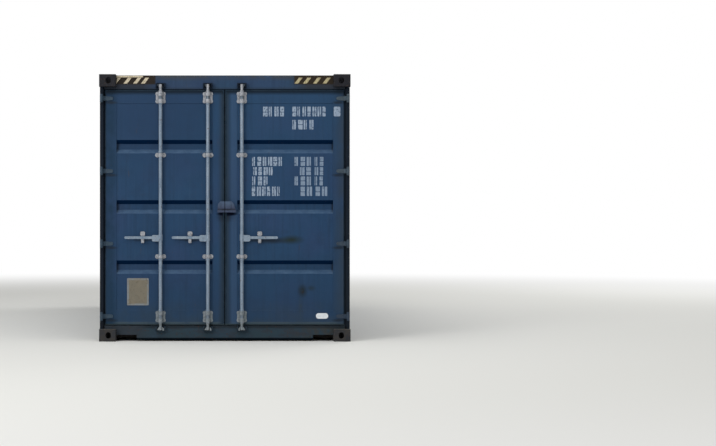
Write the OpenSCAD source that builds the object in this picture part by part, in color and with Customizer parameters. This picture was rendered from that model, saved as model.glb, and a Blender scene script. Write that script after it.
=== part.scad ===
// Twenty foot steel freight container with two hinged end doors, seen from the door end.
// X runs across, Y from the door end (negative) to the blind end, Z up from the ground.

/* [Overall] */
// Length over the corner castings
length = 6058; // [4000:1:9200]
// Width over the corner castings
width = 2438; // [2300:1:2600]
// Height over the corner castings
height = 2591; // [2500:1:2896]

/* [Corner castings] */
// Casting size along the container
casting_l = 178; // [170:1:200]
// Casting size across the container
casting_w = 162; // [155:1:180]
// Casting height
casting_h = 118; // [115:1:130]
// Thickness of the casting's upright walls
casting_wall = 24; // [18:1:30]
// Thickness of the casting's top and bottom
casting_deck = 28; // [24:1:32]
// Distance of the lifting aperture's centre from the end face
aperture_from_end = 102.5; // [100:0.5:104]
// Distance of the lifting aperture's centre from the side face
aperture_from_side = 89.5; // [87:0.5:92]
// Length of the lifting aperture
aperture_l = 124.5; // [118:0.5:128]
// Width of the lifting aperture
aperture_w = 63.5; // [60:0.5:66]

/* [Posts and rails] */
// Inset of posts, rails and walls from the casting faces
frame_inset = 4; // [3:0.5:6]
// Plate thickness of the corner posts
post_wall = 6; // [4:0.5:8]
// Width of a rear post's front flange
post_flange_w = 30; // [26:1:34]
// Inner face of a rear post, from the side of the container
post_inner = 49; // [46:1:54]
// Front face of a rear post, from the door end
post_front = 54; // [52:1:56]
// Inner face of a front post, from the side of the container
front_post_w = 75; // [70:1:90]
// Side of the square top side rails
top_rail = 60; // [50:1:70]
// Wall of the square tubes
tube_wall = 3; // [2:0.5:5]
// Gap between the top of the rails and the top of the castings
top_gap = 6; // [6:1:10]
// Top of the bottom side rails
bottom_rail_top = 170; // [165:1:174]
// Underside of the bottom side rails
bottom_rail_base = 17.5; // [15:0.5:20]
// Plate thickness of the bottom side rails
rail_plate = 4.5; // [3:0.5:6]
// Top flange width of the bottom side rails
rail_top_flange = 48; // [40:1:52]
// Bottom flange width of the bottom side rails
rail_bottom_flange = 30; // [25:1:40]

/* [Sheet panels] */
// Thickness of the wall and roof sheets
sheet = 2; // [1.6:0.1:3]
// Depth of the side wall corrugation
side_wave = 36; // [30:1:38]
// Pitch of the side wall corrugation
side_pitch = 278; // [260:1:300]
// Depth of the end wall corrugation
end_wave = 45; // [38:1:46]
// Pitch of the end wall corrugation
end_pitch = 250; // [230:1:280]
// Flat share of a wall corrugation, outside and inside
flat_w = 70; // [55:1:85]
// Height of the roof ribs
roof_rib_h = 18; // [14:1:18]
// Pitch of the roof ribs
roof_pitch = 209; // [190:1:240]
// Width of a roof rib at its foot
roof_rib_w = 160; // [140:1:170]
// Run of a roof rib's slope
roof_slope = 20; // [12:1:30]
// Height of the air vents in the side walls
vent_h = 150; // [100:1:200]
// Slots of an air vent
vent_slots = 6; // [3:1:10]

/* [Floor] */
// Top of the floor boards
floor_top = 176; // [174:1:180]
// Thickness of the floor boards
board_t = 28; // [24:1:28]
// Flange width of a cross member
member_w = 45; // [40:1:60]
// Plate thickness of a cross member
member_t = 4; // [3:0.5:5]
// Spacing of the cross members
member_pitch = 285; // [270:1:320]
// Distance between the fork pocket centres
pocket_pitch = 2050; // [1800:1:2150]
// Clear width of a fork pocket
pocket_w = 360; // [350:1:370]
// Length of the plates under a fork pocket's mouths
pocket_lip = 200; // [150:1:250]

/* [Door end] */
// Outer face of the doors, from the door end
door_face = 60; // [58:1:64]
// Thickness of a door frame
door_t = 50; // [45:1:50]
// Half of the gap between the two doors
door_half_gap = 20; // [16:1:24]
// Gap between a door and its post
door_side_gap = 16; // [14:1:18]
// Lower edge of the doors
door_bottom = 168; // [166:1:170]
// Height of the header, from the top of the castings
header_h = 141; // [135:1:150]
// Gap between a door and the header
door_top_gap = 16; // [14:1:20]
// Width of a door stile
stile_w = 100; // [90:1:110]
// Height of a door's top frame member
door_top_rail = 120; // [100:1:125]
// Height of a door's bottom frame member
door_bottom_rail = 130; // [110:1:135]
// Spacing of the pressed ribs of a door
door_rib_pitch = 586; // [560:1:610]
// Height of a pressed rib's opening
door_rib_h = 130; // [110:1:140]
// Depth of a pressed rib
door_rib_depth = 34; // [26:1:38]
// Run of a pressed rib's slope
door_rib_slope = 38; // [28:1:42]
// Reach of the door seal past the door's edge
seal_reach = 10; // [7:1:10]
// Upper front edge of the sill
sill_top = 148; // [144:1:150]
// Underside of the sill
sill_base = 12.5; // [12:0.5:16]
// Plate thickness of the sill and the header
sill_plate = 5; // [4:0.5:6]
// Length of the notch at each end of the sill
notch_l = 200; // [180:1:220]
// Upper edge of the sill notch
notch_top = 61; // [50:1:70]

/* [Hinges] */
// Hinge pin axis, from the side of the container and from the door end
hinge_inset = 22; // [21:0.5:24]
// Radius of a hinge pin
pin_r = 8; // [7:0.5:9]
// Clearance round a hinge pin
pin_gap = 0.4; // [0.3:0.1:0.6]
// Radius of a hinge barrel
barrel_r = 16; // [14:0.5:17]
// Height of a hinge blade
blade_h = 44; // [36:1:50]
// Reach of a hinge blade from the pin
blade_l = 112; // [100:1:116]
// Thickness of a hinge lug
lug_t = 12; // [10:1:14]
// Distance of the outer hinges from the door's upper and lower edge
hinge_edge = 74; // [66:1:120]

/* [Lock gear] */
// Radius of a lock rod
rod_r = 17; // [15:0.5:18]
// Wall of a lock rod
rod_wall = 3; // [2:0.5:4]
// Lock rod axis, from the door end
rod_depth = 34; // [33:0.5:35]
// Outer rod's distance from the centre of the container
outer_rod_x = 625; // [560:1:700]
// Inner rods' distance from the centre of the container
inner_rod_x = 165; // [155:1:180]
// Gap round a rod in its brackets
rod_gap = 1; // [0.5:0.1:1.5]
// Height of the handles
handle_z = 1007; // [960:1:1060]
// Reach of a handle from its rod
handle_l = 350; // [320:1:360]
// Height of a handle bar
handle_h = 26; // [24:1:32]
// Thickness of a handle bar
handle_t = 10; // [8:1:11]
// Distance of a handle's pivot from its rod
pivot_x = 50; // [46:1:60]
// Width of the cheeks that hold a handle
cheek_w = 66; // [60:1:72]
// Height of the cheeks that hold a handle
cheek_h = 62; // [52:1:70]
// Distance of a handle retainer from its rod
retainer_x = 174; // [150:1:200]
// Distance of the upper rod guides below the doors' top
upper_guide_drop = 625; // [580:1:680]
// Height of the lower rod guides
lower_guide_z = 823; // [810:1:850]
// Width of a rod bearing bracket
bearing_w = 100; // [90:1:104]
// Height of a rod bearing bracket
bearing_h = 110; // [96:1:112]
// Plate thickness of the rod brackets
bracket_t = 6; // [4:0.5:8]
// Radius of the brackets' bolt heads
bolt_r = 7; // [5:0.5:8]
// Reach of a cam's finger from the rod axis
cam_reach = 30; // [26:1:32]
// Clearance round the cams
cam_gap = 5; // [5:0.5:6]
// Height of a cam's head
cam_head_h = 32; // [28:1:40]
// Plate thickness of the cam keepers
keeper_t = 12; // [8:1:14]
// Height of the lock box
lock_box_h = 108; // [90:1:130]
// Reach of the lock box to the left of the centre
lock_box_left = 72; // [60:1:90]
// Reach of the lock box to the right of the centre
lock_box_right = 112; // [90:1:125]
// Plate thickness of the lock box
lock_box_t = 5; // [3:0.5:6]
// Front face of the lock box, from the door end
lock_box_front = 14; // [10:1:20]
// How far the hood stands forward of the rest of the lock box
lock_hood_t = 13; // [8:1:18]
// Height of the lock box left below the hood
lock_hood_low = 36; // [25:1:45]
// Reach of the hood to the left of the door gap
lock_hood_left = 34; // [28:1:40]
// Reach of the hood to the right of the door gap
lock_hood_right = 56; // [45:1:60]

/* [Hidden] */

blue = "#2d4a6b";
dark_blue = "#26394f";
near_black = "#1d2329";
galvanised = "#8b98a6";
plywood = "#8a6a44";

curve = 48;
eps = 1;
half_w = width / 2;
half_l = length / 2;
rail_top_z = height - top_gap;
top_rail_base = rail_top_z - top_rail;
casting_top_z = height - casting_h;
board_base = floor_top - board_t;
member_base = bottom_rail_base + rail_plate;
door_outer_x = half_w - post_inner - door_side_gap;
header_bottom = height - header_h;
door_top = header_bottom - door_top_gap;
door_back = door_face + door_t;
panel_face = door_face + 2;
panel_base = door_bottom + door_bottom_rail;
panel_top = door_top - door_top_rail;
panel_mid = (panel_base + panel_top) / 2;
threshold = door_back + 14;
sill_fall = 4;
sill_back = 140;
face_d = door_face + 2;
front_face_d = frame_inset + 4;
front_box_d = front_face_d + 52;
front_sill_top = 158;
lower_bearing_z = door_bottom + door_bottom_rail / 2 + 6;
upper_bearing_z = door_top - door_top_rail / 2 - 6;
upper_guide_z = door_top - upper_guide_drop;
hinge_pitch = (door_top - door_bottom - 2 * hinge_edge) / 3;
rod_base = door_bottom + 12;
rod_end = door_top - 9;
cam_neck_r = 13;
cam_body_r = 15;
cam_flange_h = 12;
cam_neck_h = 27;
fork_t = 7;
fork_gap = 2;
collar_r = rod_r + 4;
rivet_r = 7;
roof_z = rail_top_z - roof_rib_h - sheet - 1;
pocket_top = board_base - member_t;

// Placing of what belongs to the ends and to the two sides
module at_door_end() translate([0, -half_l, 0]) children();
module at_front_end() mirror([0, 1, 0]) at_door_end() children();
module both_sides() {
    children();
    mirror([1, 0, 0]) children();
}
module from_left_side() translate([-half_w, 0, 0]) children();

// Flat shapes
module rounded_rect(w, h, r) {
    translate([r, 0]) square([w - 2 * r, h]);
    translate([0, r]) square([w, h - 2 * r]);
    for (x = [r, w - r], y = [r, h - r]) translate([x, y]) circle(r = r, $fn = curve);
}
module stadium(l, w) {
    square([l - w, w], center = true);
    for (s = [-1, 1]) translate([s * (l - w) / 2, 0]) circle(d = w, $fn = curve);
}

// An outline drawn as (depth, height) and run along X from x0 to x1
module run_x(x0, x1) {
    translate([x0, 0, 0]) rotate([90, 0, 90]) linear_extrude(x1 - x0) children();
}
// An outline drawn as (x, z) and run along Y from y0 to y1
module run_y(y0, y1) {
    translate([0, y1, 0]) rotate([90, 0, 0]) linear_extrude(y1 - y0) children();
}

// Corner castings
module casting(lifting_face_up) {
    difference() {
        linear_extrude(casting_h) rounded_rect(casting_w, casting_l, 10);
        translate([casting_wall, casting_wall, casting_deck])
            linear_extrude(casting_h - 2 * casting_deck)
            rounded_rect(casting_w - 2 * casting_wall, casting_l - 2 * casting_wall, 8);
        translate([aperture_from_side, aperture_from_end, lifting_face_up ? casting_deck + eps : -eps])
            linear_extrude(casting_h - casting_deck) rotate(90) stadium(aperture_l, aperture_w);
        run_y(-eps, casting_wall + eps)
            translate([aperture_from_side, casting_h / 2]) rotate(90) stadium(63.5, 51);
        run_x(-eps, casting_wall + eps)
            translate([aperture_from_end, casting_h / 2]) stadium(79.5, 51);
    }
}
module four_castings(z, up) {
    both_sides() for (front = [0, 1])
        mirror([0, front, 0]) translate([-half_w, -half_l, z]) casting(up);
}
module bottom_corner_castings() {
    color(dark_blue) four_castings(0, false);
}
module top_corner_castings() {
    color(near_black) four_castings(casting_top_z, true);
}

// Corner posts: pressed plate sections, standing between the castings
module rear_post_outline(t) {
    f = frame_inset;
    w = f + post_flange_w;
    polygon([
        [f + t, post_front + t], [w - t, post_front + t], [w - t, post_front + 18],
        [post_inner - t, post_front + 26 + t / 2], [post_inner - t, casting_l - t], [f + t, casting_l - t]
    ]);
}
module front_post_outline(t) {
    f = frame_inset;
    polygon([
        [f + t, f + t], [front_post_w - t, f + t], [front_post_w - t, front_box_d - t],
        [post_inner - t, front_box_d - t], [post_inner - t, casting_l - t], [f + t, casting_l - t]
    ]);
}
module post() {
    translate([-half_w, 0, casting_h]) linear_extrude(casting_top_z - casting_h) children();
}
module rear_corner_posts() {
    color(near_black) at_door_end() both_sides() post() difference() {
        rear_post_outline(0);
        rear_post_outline(post_wall);
    }
}
module front_corner_posts() {
    color(blue) at_front_end() both_sides() post() difference() {
        front_post_outline(0);
        front_post_outline(post_wall);
    }
}

// Hinges
hinge_heights = [for (i = [0:3]) door_bottom + hinge_edge + i * hinge_pitch];
module at_hinges() {
    for (z = hinge_heights) translate([-half_w + hinge_inset, hinge_inset, z]) children();
}
module hinge_lugs() {
    reach = post_front - hinge_inset;
    at_hinges() {
        for (s = [-1, 1]) translate([0, 0, s * (blade_h / 2 + 2 + lug_t / 2) - lug_t / 2])
            linear_extrude(lug_t) {
                circle(r = barrel_r, $fn = curve);
                translate([-15, 0]) square([27, reach]);
            }
        translate([0, 0, -blade_h / 2 - lug_t - 6]) cylinder(r = pin_r, h = blade_h + 2 * lug_t + 12, $fn = curve);
        for (s = [-1, 1]) translate([0, 0, s * (blade_h / 2 + lug_t + 5) - 3])
            cylinder(r = pin_r + 4, h = 6, $fn = curve);
    }
}
module post_hinge_lugs() {
    color(near_black) at_door_end() both_sides() hinge_lugs();
}
module blade_plan() {
    back = door_face - hinge_inset;
    circle(r = barrel_r, $fn = curve);
    polygon([
        [12, -10], [28, 19], [40, back - 10], [blade_l - 4, back - 10],
        [blade_l, back - 6], [blade_l, back], [31, back], [17, 28], [0, barrel_r - 1]
    ]);
}
module blade_front() {
    tip = blade_l - 17;
    polygon([
        [-barrel_r - eps, -blade_h / 2], [30, -blade_h / 2], [tip, -17],
        [tip, 17], [30, blade_h / 2], [-barrel_r - eps, blade_h / 2]
    ]);
    translate([tip, 0]) circle(r = 17, $fn = curve);
}
module hinge_blades() {
    at_hinges() difference() {
        intersection() {
            translate([0, 0, -blade_h / 2]) linear_extrude(blade_h) blade_plan();
            run_y(-barrel_r - eps, door_face) blade_front();
        }
        translate([0, 0, -blade_h]) cylinder(r = pin_r + pin_gap, h = 2 * blade_h, $fn = curve);
    }
}

// Header and sill of the door end
module casting_space(z0) {
    both_sides() translate([-half_w - eps, -eps, z0])
        cube([casting_w + eps, casting_l + 2 * eps, casting_h + eps]);
}
module header_outline(t) {
    polygon([
        [face_d + t, header_bottom + t], [face_d + t, rail_top_z - t],
        [casting_l - t, rail_top_z - t], [casting_l - t, roof_z - 14 + t / 2],
        [threshold - t, header_bottom + 60 + t / 2], [threshold - t, header_bottom + t]
    ]);
}
module rear_header() {
    in_x = half_w - post_inner;
    color(blue) at_door_end() difference() {
        run_x(-in_x, in_x) header_outline(0);
        run_x(-half_w + casting_w + sill_plate, half_w - casting_w - sill_plate) header_outline(sill_plate);
        casting_space(casting_top_z);
    }
}
module sill_outline(t) {
    back = casting_l - 4 * t;
    polygon([
        [face_d + t, sill_base + t], [face_d + t, sill_top - t], [threshold + t, sill_top + sill_fall - t],
        [threshold + t, floor_top - t], [back, floor_top - t],
        [back, board_base + t], [sill_back - t, board_base + t], [sill_back - t, sill_base + t]
    ]);
}
// Hollow of the sill's end, above the casting and above the notch
module sill_end_hollow(in_x, notch_x) {
    p = sill_plate;
    both_sides() run_y(face_d + p, sill_back - p) polygon([
        [-in_x + p, casting_h + p], [-notch_x + p, casting_h + p], [-notch_x + p, notch_top + p],
        [-notch_x + notch_l, notch_top + p], [-notch_x + notch_l, sill_top - p], [-in_x + p, sill_top - p]
    ]);
}
module rear_sill() {
    in_x = half_w - post_inner;
    notch_x = half_w - casting_w;
    color(dark_blue) at_door_end() difference() {
        run_x(-in_x, in_x) sill_outline(0);
        run_x(-notch_x + notch_l + sill_plate, notch_x - notch_l - sill_plate) sill_outline(sill_plate);
        sill_end_hollow(in_x, notch_x);
        casting_space(-eps);
        both_sides() translate([-notch_x - eps, face_d - eps, sill_base - eps])
            cube([notch_l + eps, sill_back - face_d + 2 * eps, notch_top - sill_base + eps]);
    }
}

// Header and sill of the blind end
module box_outline(d0, z0, d1, z1, t) {
    translate([d0 + t, z0 + t]) square([d1 - d0 - 2 * t, z1 - z0 - 2 * t]);
}
module front_header() {
    in_x = half_w - casting_w;
    color(blue) at_front_end() difference() {
        run_x(-in_x, in_x) box_outline(front_face_d, top_rail_base, front_box_d, rail_top_z, 0);
        run_x(-in_x + tube_wall, in_x - tube_wall)
            box_outline(front_face_d, top_rail_base, front_box_d, rail_top_z, tube_wall);
    }
}
module front_sill() {
    in_x = half_w - front_post_w;
    hollow_x = half_w - casting_w - sill_plate;
    color(blue) at_front_end() difference() {
        run_x(-in_x, in_x) box_outline(front_face_d, sill_base, front_box_d, front_sill_top, 0);
        run_x(-hollow_x, hollow_x) box_outline(front_face_d, sill_base, front_box_d, front_sill_top, sill_plate);
        casting_space(-eps);
    }
}

// Side rails
module top_side_rails() {
    y1 = half_l - casting_l;
    color(blue) both_sides() from_left_side() difference() {
        run_y(-y1, y1) translate([frame_inset, top_rail_base]) square(top_rail);
        run_y(-y1 + tube_wall, y1 - tube_wall)
            translate([frame_inset + tube_wall, top_rail_base + tube_wall]) square(top_rail - 2 * tube_wall);
    }
}
module rail_outline() {
    f = frame_inset;
    polygon([
        [f, bottom_rail_base], [f + rail_bottom_flange, bottom_rail_base],
        [f + rail_bottom_flange, bottom_rail_base + rail_plate], [f + rail_plate, bottom_rail_base + rail_plate],
        [f + rail_plate, bottom_rail_top - rail_plate], [f + rail_top_flange, bottom_rail_top - rail_plate],
        [f + rail_top_flange, bottom_rail_top], [f, bottom_rail_top]
    ]);
}
module bottom_side_rails() {
    y1 = half_l - casting_l;
    color(blue) both_sides() from_left_side() difference() {
        run_y(-y1, y1) rail_outline();
        for (s = [-1, 1])
            translate([-eps, s * pocket_pitch / 2 - pocket_w / 2, member_base + member_t])
                cube([frame_inset + rail_plate + 2 * eps, pocket_w, pocket_top - member_base - member_t]);
    }
}

// Corrugated walls: one folded sheet of even thickness, drawn from a centred row of waves
function wave_knots(span, pitch, flat) =
    let (
        waves = floor((span - flat) / pitch),
        slope = pitch / 2 - flat,
        start = -waves * pitch / 2
    )
    concat(
        [[-span / 2, 0], [start + flat / 2, 0]],
        [for (i = [0:waves - 1]) each [
            [start + i * pitch + flat / 2 + slope, 1],
            [start + i * pitch + flat / 2 + slope + flat, 1],
            [start + (i + 1) * pitch - flat / 2, 0],
            [start + (i + 1) * pitch + flat / 2, 0]
        ]],
        [[span / 2, 0]]
    );
// At both ends of a slope that runs inwards the inner face moves back by the mitre, outwards it moves on
function mitre_side(k, i) = (i == 0 || i == len(k) - 1) ? 0 : k[i - 1][1] - k[i + 1][1];
module wave_sheet(span, pitch, flat, depth) {
    shift = sheet * tan(atan2(depth, pitch / 2 - flat) / 2);
    knots = wave_knots(span, pitch, flat);
    last = len(knots) - 1;
    outer = [for (k = knots) [k[0], k[1] * depth]];
    inner = [for (i = [last:-1:0]) [
        knots[i][0] + mitre_side(knots, i) * shift,
        knots[i][1] * depth + sheet
    ]];
    polygon(concat(outer, inner));
}

module side_wall() {
    span = length - 2 * casting_l;
    from_left_side() translate([frame_inset + 2, 0, bottom_rail_top])
        linear_extrude(top_rail_base - bottom_rail_top)
        rotate(90) mirror([0, 1, 0]) wave_sheet(span, side_pitch, flat_w, side_wave - sheet);
}
module left_side_wall() {
    color(blue) side_wall();
}
module right_side_wall() {
    color(blue) mirror([1, 0, 0]) side_wall();
}
module front_end_wall() {
    span = width - 2 * front_post_w;
    color(blue) at_front_end() difference() {
        translate([0, front_face_d, front_sill_top])
            linear_extrude(top_rail_base - front_sill_top)
            wave_sheet(span, end_pitch, flat_w - 10, end_wave - sheet);
        casting_space(casting_top_z);
    }
}

// Roof: pressed ribs across a flat sheet
module rib_row(w, y0, y1) {
    n = floor((y1 - y0 - 60) / roof_pitch);
    first = (y0 + y1) / 2 - (n - 1) * roof_pitch / 2;
    slope = roof_slope * (roof_rib_h + sheet) / roof_rib_h;
    for (i = [0:n - 1])
        translate([first + i * roof_pitch, 0])
            polygon([[-w / 2, 0], [w / 2, 0], [w / 2 - slope, roof_rib_h + sheet], [-w / 2 + slope, roof_rib_h + sheet]]);
}
module roof_ribs(w, span, y0, y1) {
    slope = roof_slope * (roof_rib_h + sheet) / roof_rib_h;
    intersection() {
        run_x(-half_w, half_w) rib_row(w, y0, y1);
        run_y(y0, y1) polygon([
            [-span / 2, 0], [span / 2, 0],
            [span / 2 - 2 * slope, roof_rib_h + sheet], [-span / 2 + 2 * slope, roof_rib_h + sheet]
        ]);
    }
}
module roof_sheet() {
    y0 = -half_l + casting_l;
    y1 = half_l - front_box_d;
    half_span = half_w - frame_inset - top_rail;
    color(blue) translate([0, 0, roof_z]) difference() {
        union() {
            translate([-half_span, y0, 0]) cube([2 * half_span, y1 - y0, sheet]);
            roof_ribs(roof_rib_w, 2 * half_span - 90, y0, y1);
        }
        translate([0, 0, -sheet]) roof_ribs(roof_rib_w - 1, 2 * half_span - 92, y0, y1);
        at_front_end() translate([0, 0, -roof_z]) casting_space(casting_top_z);
    }
}

// Floor
module floor_boards() {
    y0 = -half_l + casting_l;
    y1 = half_l - front_box_d;
    edge = half_w - frame_inset - rail_top_flange - 2;
    third = (y1 - y0) / 3;
    color(plywood) both_sides() for (i = [0:2])
        translate([3, y0 + i * third + (i > 0 ? 1.5 : 0), board_base])
            cube([edge - 3, third - (i > 0 ? 1.5 : 0) - (i < 2 ? 1.5 : 0), board_t]);
}
module channel_outline(h) {
    difference() {
        square([member_w, h]);
        translate([member_t, member_t]) square([member_w, h - 2 * member_t]);
    }
}
// Cross members stand clear of the pocket frames
member_first = -half_l + casting_l + 30;
member_last = half_l - casting_l - 30 - member_w;
member_count = floor((member_last - member_first) / member_pitch) + 1;
function clear_of_pockets(y) =
    min(abs(y + member_w / 2 - pocket_pitch / 2), abs(y + member_w / 2 + pocket_pitch / 2)) > pocket_w / 2 + member_w + 10;
module floor_cross_members() {
    in_x = half_w - frame_inset - rail_plate;
    step = (member_last - member_first) / (member_count - 1);
    color(dark_blue) for (i = [0:member_count - 1]) {
        y = member_first + i * step;
        if (clear_of_pockets(y))
            run_x(-in_x, in_x) translate([y, member_base]) channel_outline(board_base - member_base);
    }
}
module fork_pockets() {
    in_x = half_w - frame_inset - rail_plate;
    outer_w = pocket_w + 2 * member_t;
    color(dark_blue) for (s = [-1, 1]) translate([0, s * pocket_pitch / 2, 0]) {
        run_x(-in_x, in_x) {
            translate([-outer_w / 2, pocket_top]) square([outer_w, member_t]);
            for (side = [-1, 1]) translate([side * (pocket_w + member_t) / 2 - member_t / 2, member_base])
                square([member_t, pocket_top - member_base + eps]);
        }
        both_sides() translate([-in_x, -pocket_w / 2 - eps, member_base])
            cube([pocket_lip, pocket_w + 2 * eps, member_t]);
    }
}

// Keepers for the cams, open to the front and towards the door
keeper_ledge = 7;
keeper_back = 8;
keeper_h = keeper_ledge + cam_gap + cam_head_h;
cam_end = cam_flange_h + cam_neck_h + cam_head_h + cam_gap + keeper_ledge;
keeper_low = rod_base - cam_end;
keeper_high = rod_end + cam_end;
rod_xs = [-outer_rod_x, -inner_rod_x, inner_rod_x];
module keeper() {
    w = cam_reach + cam_gap;
    front = rod_depth - 16;
    for (s = [0, 1]) mirror([s, 0, 0]) run_x(w, w + keeper_t) polygon([
        [front, 0], [front, keeper_h / 2], [front + 14, keeper_h], [face_d, keeper_h + 6], [face_d, 0]
    ]);
    translate([-w - keeper_t, face_d - keeper_back, 0]) cube([2 * (w + keeper_t), keeper_back, keeper_h + 6]);
    translate([-w - keeper_t, rod_depth - 10, 0])
        cube([2 * (w + keeper_t), face_d - rod_depth + 10, keeper_ledge]);
}
module cam_keepers() {
    color(blue) at_door_end() for (x = rod_xs) {
        translate([x, 0, keeper_low]) keeper();
        translate([x, 0, keeper_high]) mirror([0, 0, 1]) keeper();
    }
}

// Louvred air vents, set in a hollow of each side wall
side_waves = floor((length - 2 * casting_l - flat_w) / side_pitch);
vent_t = 14;
module side_vents() {
    hollow_d = frame_inset + 2 + side_wave - sheet;
    color("#33424f") for (turn = [0, 180]) rotate(turn) from_left_side()
        translate([hollow_d - vent_t, (1.5 - side_waves / 2) * side_pitch, top_rail_base - 110 - vent_h])
            vent_body();
}
module vent_body() {
    w = flat_w - 10;
    step = (vent_h - 24) / vent_slots;
    difference() {
        translate([0, -w / 2, 0]) cube([vent_t, w, vent_h]);
        for (i = [0:vent_slots - 1])
            translate([-eps, -w / 2 + 6, 16 + i * step]) cube([vent_t / 2, w - 12, step * 0.6]);
    }
}

// Doors, drawn for the left side and mirrored for the right
module door_stiles() {
    for (x = [-door_outer_x, -door_half_gap - stile_w]) difference() {
        translate([x, door_face, door_bottom]) cube([stile_w, door_t, door_top - door_bottom]);
        translate([x + tube_wall, door_face + tube_wall, door_bottom + tube_wall])
            cube([stile_w - 2 * tube_wall, door_t - 2 * tube_wall, door_top - door_bottom - 2 * tube_wall]);
    }
}
panel_x0 = -door_outer_x + stile_w;
panel_x1 = -door_half_gap - stile_w;
module door_rails() {
    for (z = [[door_bottom, panel_base], [panel_top, door_top]]) difference() {
        run_x(panel_x0, panel_x1) box_outline(door_face, z[0], door_back, z[1], 0);
        run_x(panel_x0 + tube_wall, panel_x1 - tube_wall) box_outline(door_face, z[0], door_back, z[1], tube_wall);
    }
}
// The rib's folds, from the lower edge up: sheet face, into the rib, across it and out again
function rib_folds(z) = [
    [z - door_rib_h / 2, 0], [z - door_rib_h / 2 + door_rib_slope, 1],
    [z + door_rib_h / 2 - door_rib_slope, 1], [z + door_rib_h / 2, 0]
];
module door_panel() {
    shift = sheet * tan(atan2(door_rib_depth, door_rib_slope) / 2);
    folds = [for (i = [-1:1]) each rib_folds(panel_mid + i * door_rib_pitch)];
    mitre_signs = [-1, -1, 1, 1];
    outer = concat([[panel_face, panel_base]],
        [for (f = folds) [panel_face + f[1] * door_rib_depth, f[0]]], [[panel_face, panel_top]]);
    inner = concat([[panel_face + sheet, panel_base]],
        [for (i = [0:len(folds) - 1]) [
            panel_face + sheet + folds[i][1] * door_rib_depth,
            folds[i][0] + shift * mitre_signs[i % 4]
        ]], [[panel_face + sheet, panel_top]]);
    run_x(panel_x0, panel_x1)
        polygon(concat(outer, [for (i = [len(inner) - 1:-1:0]) inner[i]]));
}
module door_seal() {
    lip = seal_reach;
    centre_lip = door_half_gap - 4;
    x0 = -door_outer_x;
    x1 = -door_half_gap;
    difference() {
        translate([x0 - lip, door_face + 3, door_bottom - lip])
            cube([x1 - x0 + lip + centre_lip, door_t - 6, door_top - door_bottom + 2 * lip]);
        translate([x0, door_face, door_bottom]) cube([x1 - x0, door_t, door_top - door_bottom]);
    }
}

// Brackets that carry the rods on a door
lobe_r = 0.19 * bearing_w;
lobe_x = bearing_w / 2 - lobe_r;
saddle_r = rod_r + rod_gap + 7;
saddle_h = 0.36 * bearing_h;
module bolt_heads(xs, zs, y) {
    for (x = xs, z = zs) translate([x, y, z]) rotate([90, 0, 0]) cylinder(r = bolt_r, h = bolt_r - 1, $fn = 6);
}
module lobed_row(r) {
    square([2 * lobe_x, 1.5 * r], center = true);
    for (s = [-1, 1]) translate([s * lobe_x, 0]) circle(r = r, $fn = curve);
}
module saddle(back, h) {
    translate([0, 0, -h / 2]) linear_extrude(h) {
        circle(r = saddle_r, $fn = curve);
        translate([-saddle_r, 0]) square([2 * saddle_r, back]);
    }
}
module rod_hole() {
    translate([0, 0, -bearing_h]) cylinder(r = rod_r + rod_gap, h = 2 * bearing_h, $fn = curve);
}
module bearing_bracket(back) {
    lobe_z = bearing_h / 2 - lobe_r;
    difference() {
        union() {
            run_y(back - bracket_t, back) {
                for (z = [-lobe_z, lobe_z]) translate([0, z]) lobed_row(lobe_r);
                square([2 * lobe_x + 1.5 * lobe_r, 2 * lobe_z], center = true);
            }
            for (s = [-1, 1]) translate([0, 0, s * (bearing_h - saddle_h) / 2]) saddle(back, saddle_h);
            bolt_heads([-lobe_x, lobe_x], [-lobe_z, lobe_z], back - bracket_t);
        }
        rod_hole();
    }
}
module guide_bracket(back) {
    difference() {
        union() {
            run_y(back - bracket_t, back) lobed_row(1.15 * lobe_r);
            saddle(back, 1.7 * lobe_r);
            bolt_heads([-lobe_x, lobe_x], [0], back - bracket_t);
        }
        rod_hole();
    }
}
module rod_brackets(x, guide_back) {
    translate([x, rod_depth, 0]) {
        for (z = [lower_bearing_z, upper_bearing_z]) translate([0, 0, z]) bearing_bracket(door_face - rod_depth);
        for (z = [lower_guide_z, upper_guide_z]) translate([0, 0, z]) guide_bracket(guide_back - rod_depth);
    }
}

// The seat under a handle, with its back plate and the head above
module handle_retainer(x, side) {
    low = handle_z - 54;
    seat_top = handle_z - handle_h / 2 - 2;
    back = panel_face;
    translate([x + side * retainer_x, 0, 0]) {
        run_y(back - 5, back) translate([-15, low]) rounded_rect(30, 114, 8);
        translate([-13, rod_depth - 12, low + 6]) cube([26, back - rod_depth + 12, seat_top - low - 6]);
        run_y(rod_depth + handle_t, back) translate([-23, handle_z + 17]) rounded_rect(46, 42, 12);
    }
}

// Lock rods, turned about their axis at the origin
module rod(x, side) {
    translate([x, rod_depth, 0]) {
        difference() {
            union() {
                translate([0, 0, rod_base]) cylinder(r = rod_r, h = rod_end - rod_base, $fn = curve);
                translate([0, 0, handle_z - 30]) cylinder(r = collar_r, h = 60, $fn = curve);
                handle_fork(side);
            }
            translate([0, 0, rod_base + eps * 4])
                cylinder(r = rod_r - rod_wall, h = rod_end - rod_base - eps * 8, $fn = curve);
        }
    }
}
module fork_outline() {
    translate([rod_r - 1, -0.6 * cheek_h]) rounded_rect(cheek_w, cheek_h, 14);
    translate([rod_r - 1, -0.6 * cheek_h]) square([20, cheek_h]);
}
module handle_fork(side) {
    inner = handle_t / 2 + fork_gap;
    mirror([side < 0 ? 1 : 0, 0, 0]) translate([0, 0, handle_z]) {
        for (y = [-inner - fork_t, inner]) run_y(y, y + fork_t) fork_outline();
        run_y(-inner - fork_t - 3, inner + fork_t + 3) translate([pivot_x, 0]) circle(r = rivet_r, $fn = curve);
    }
}
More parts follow.
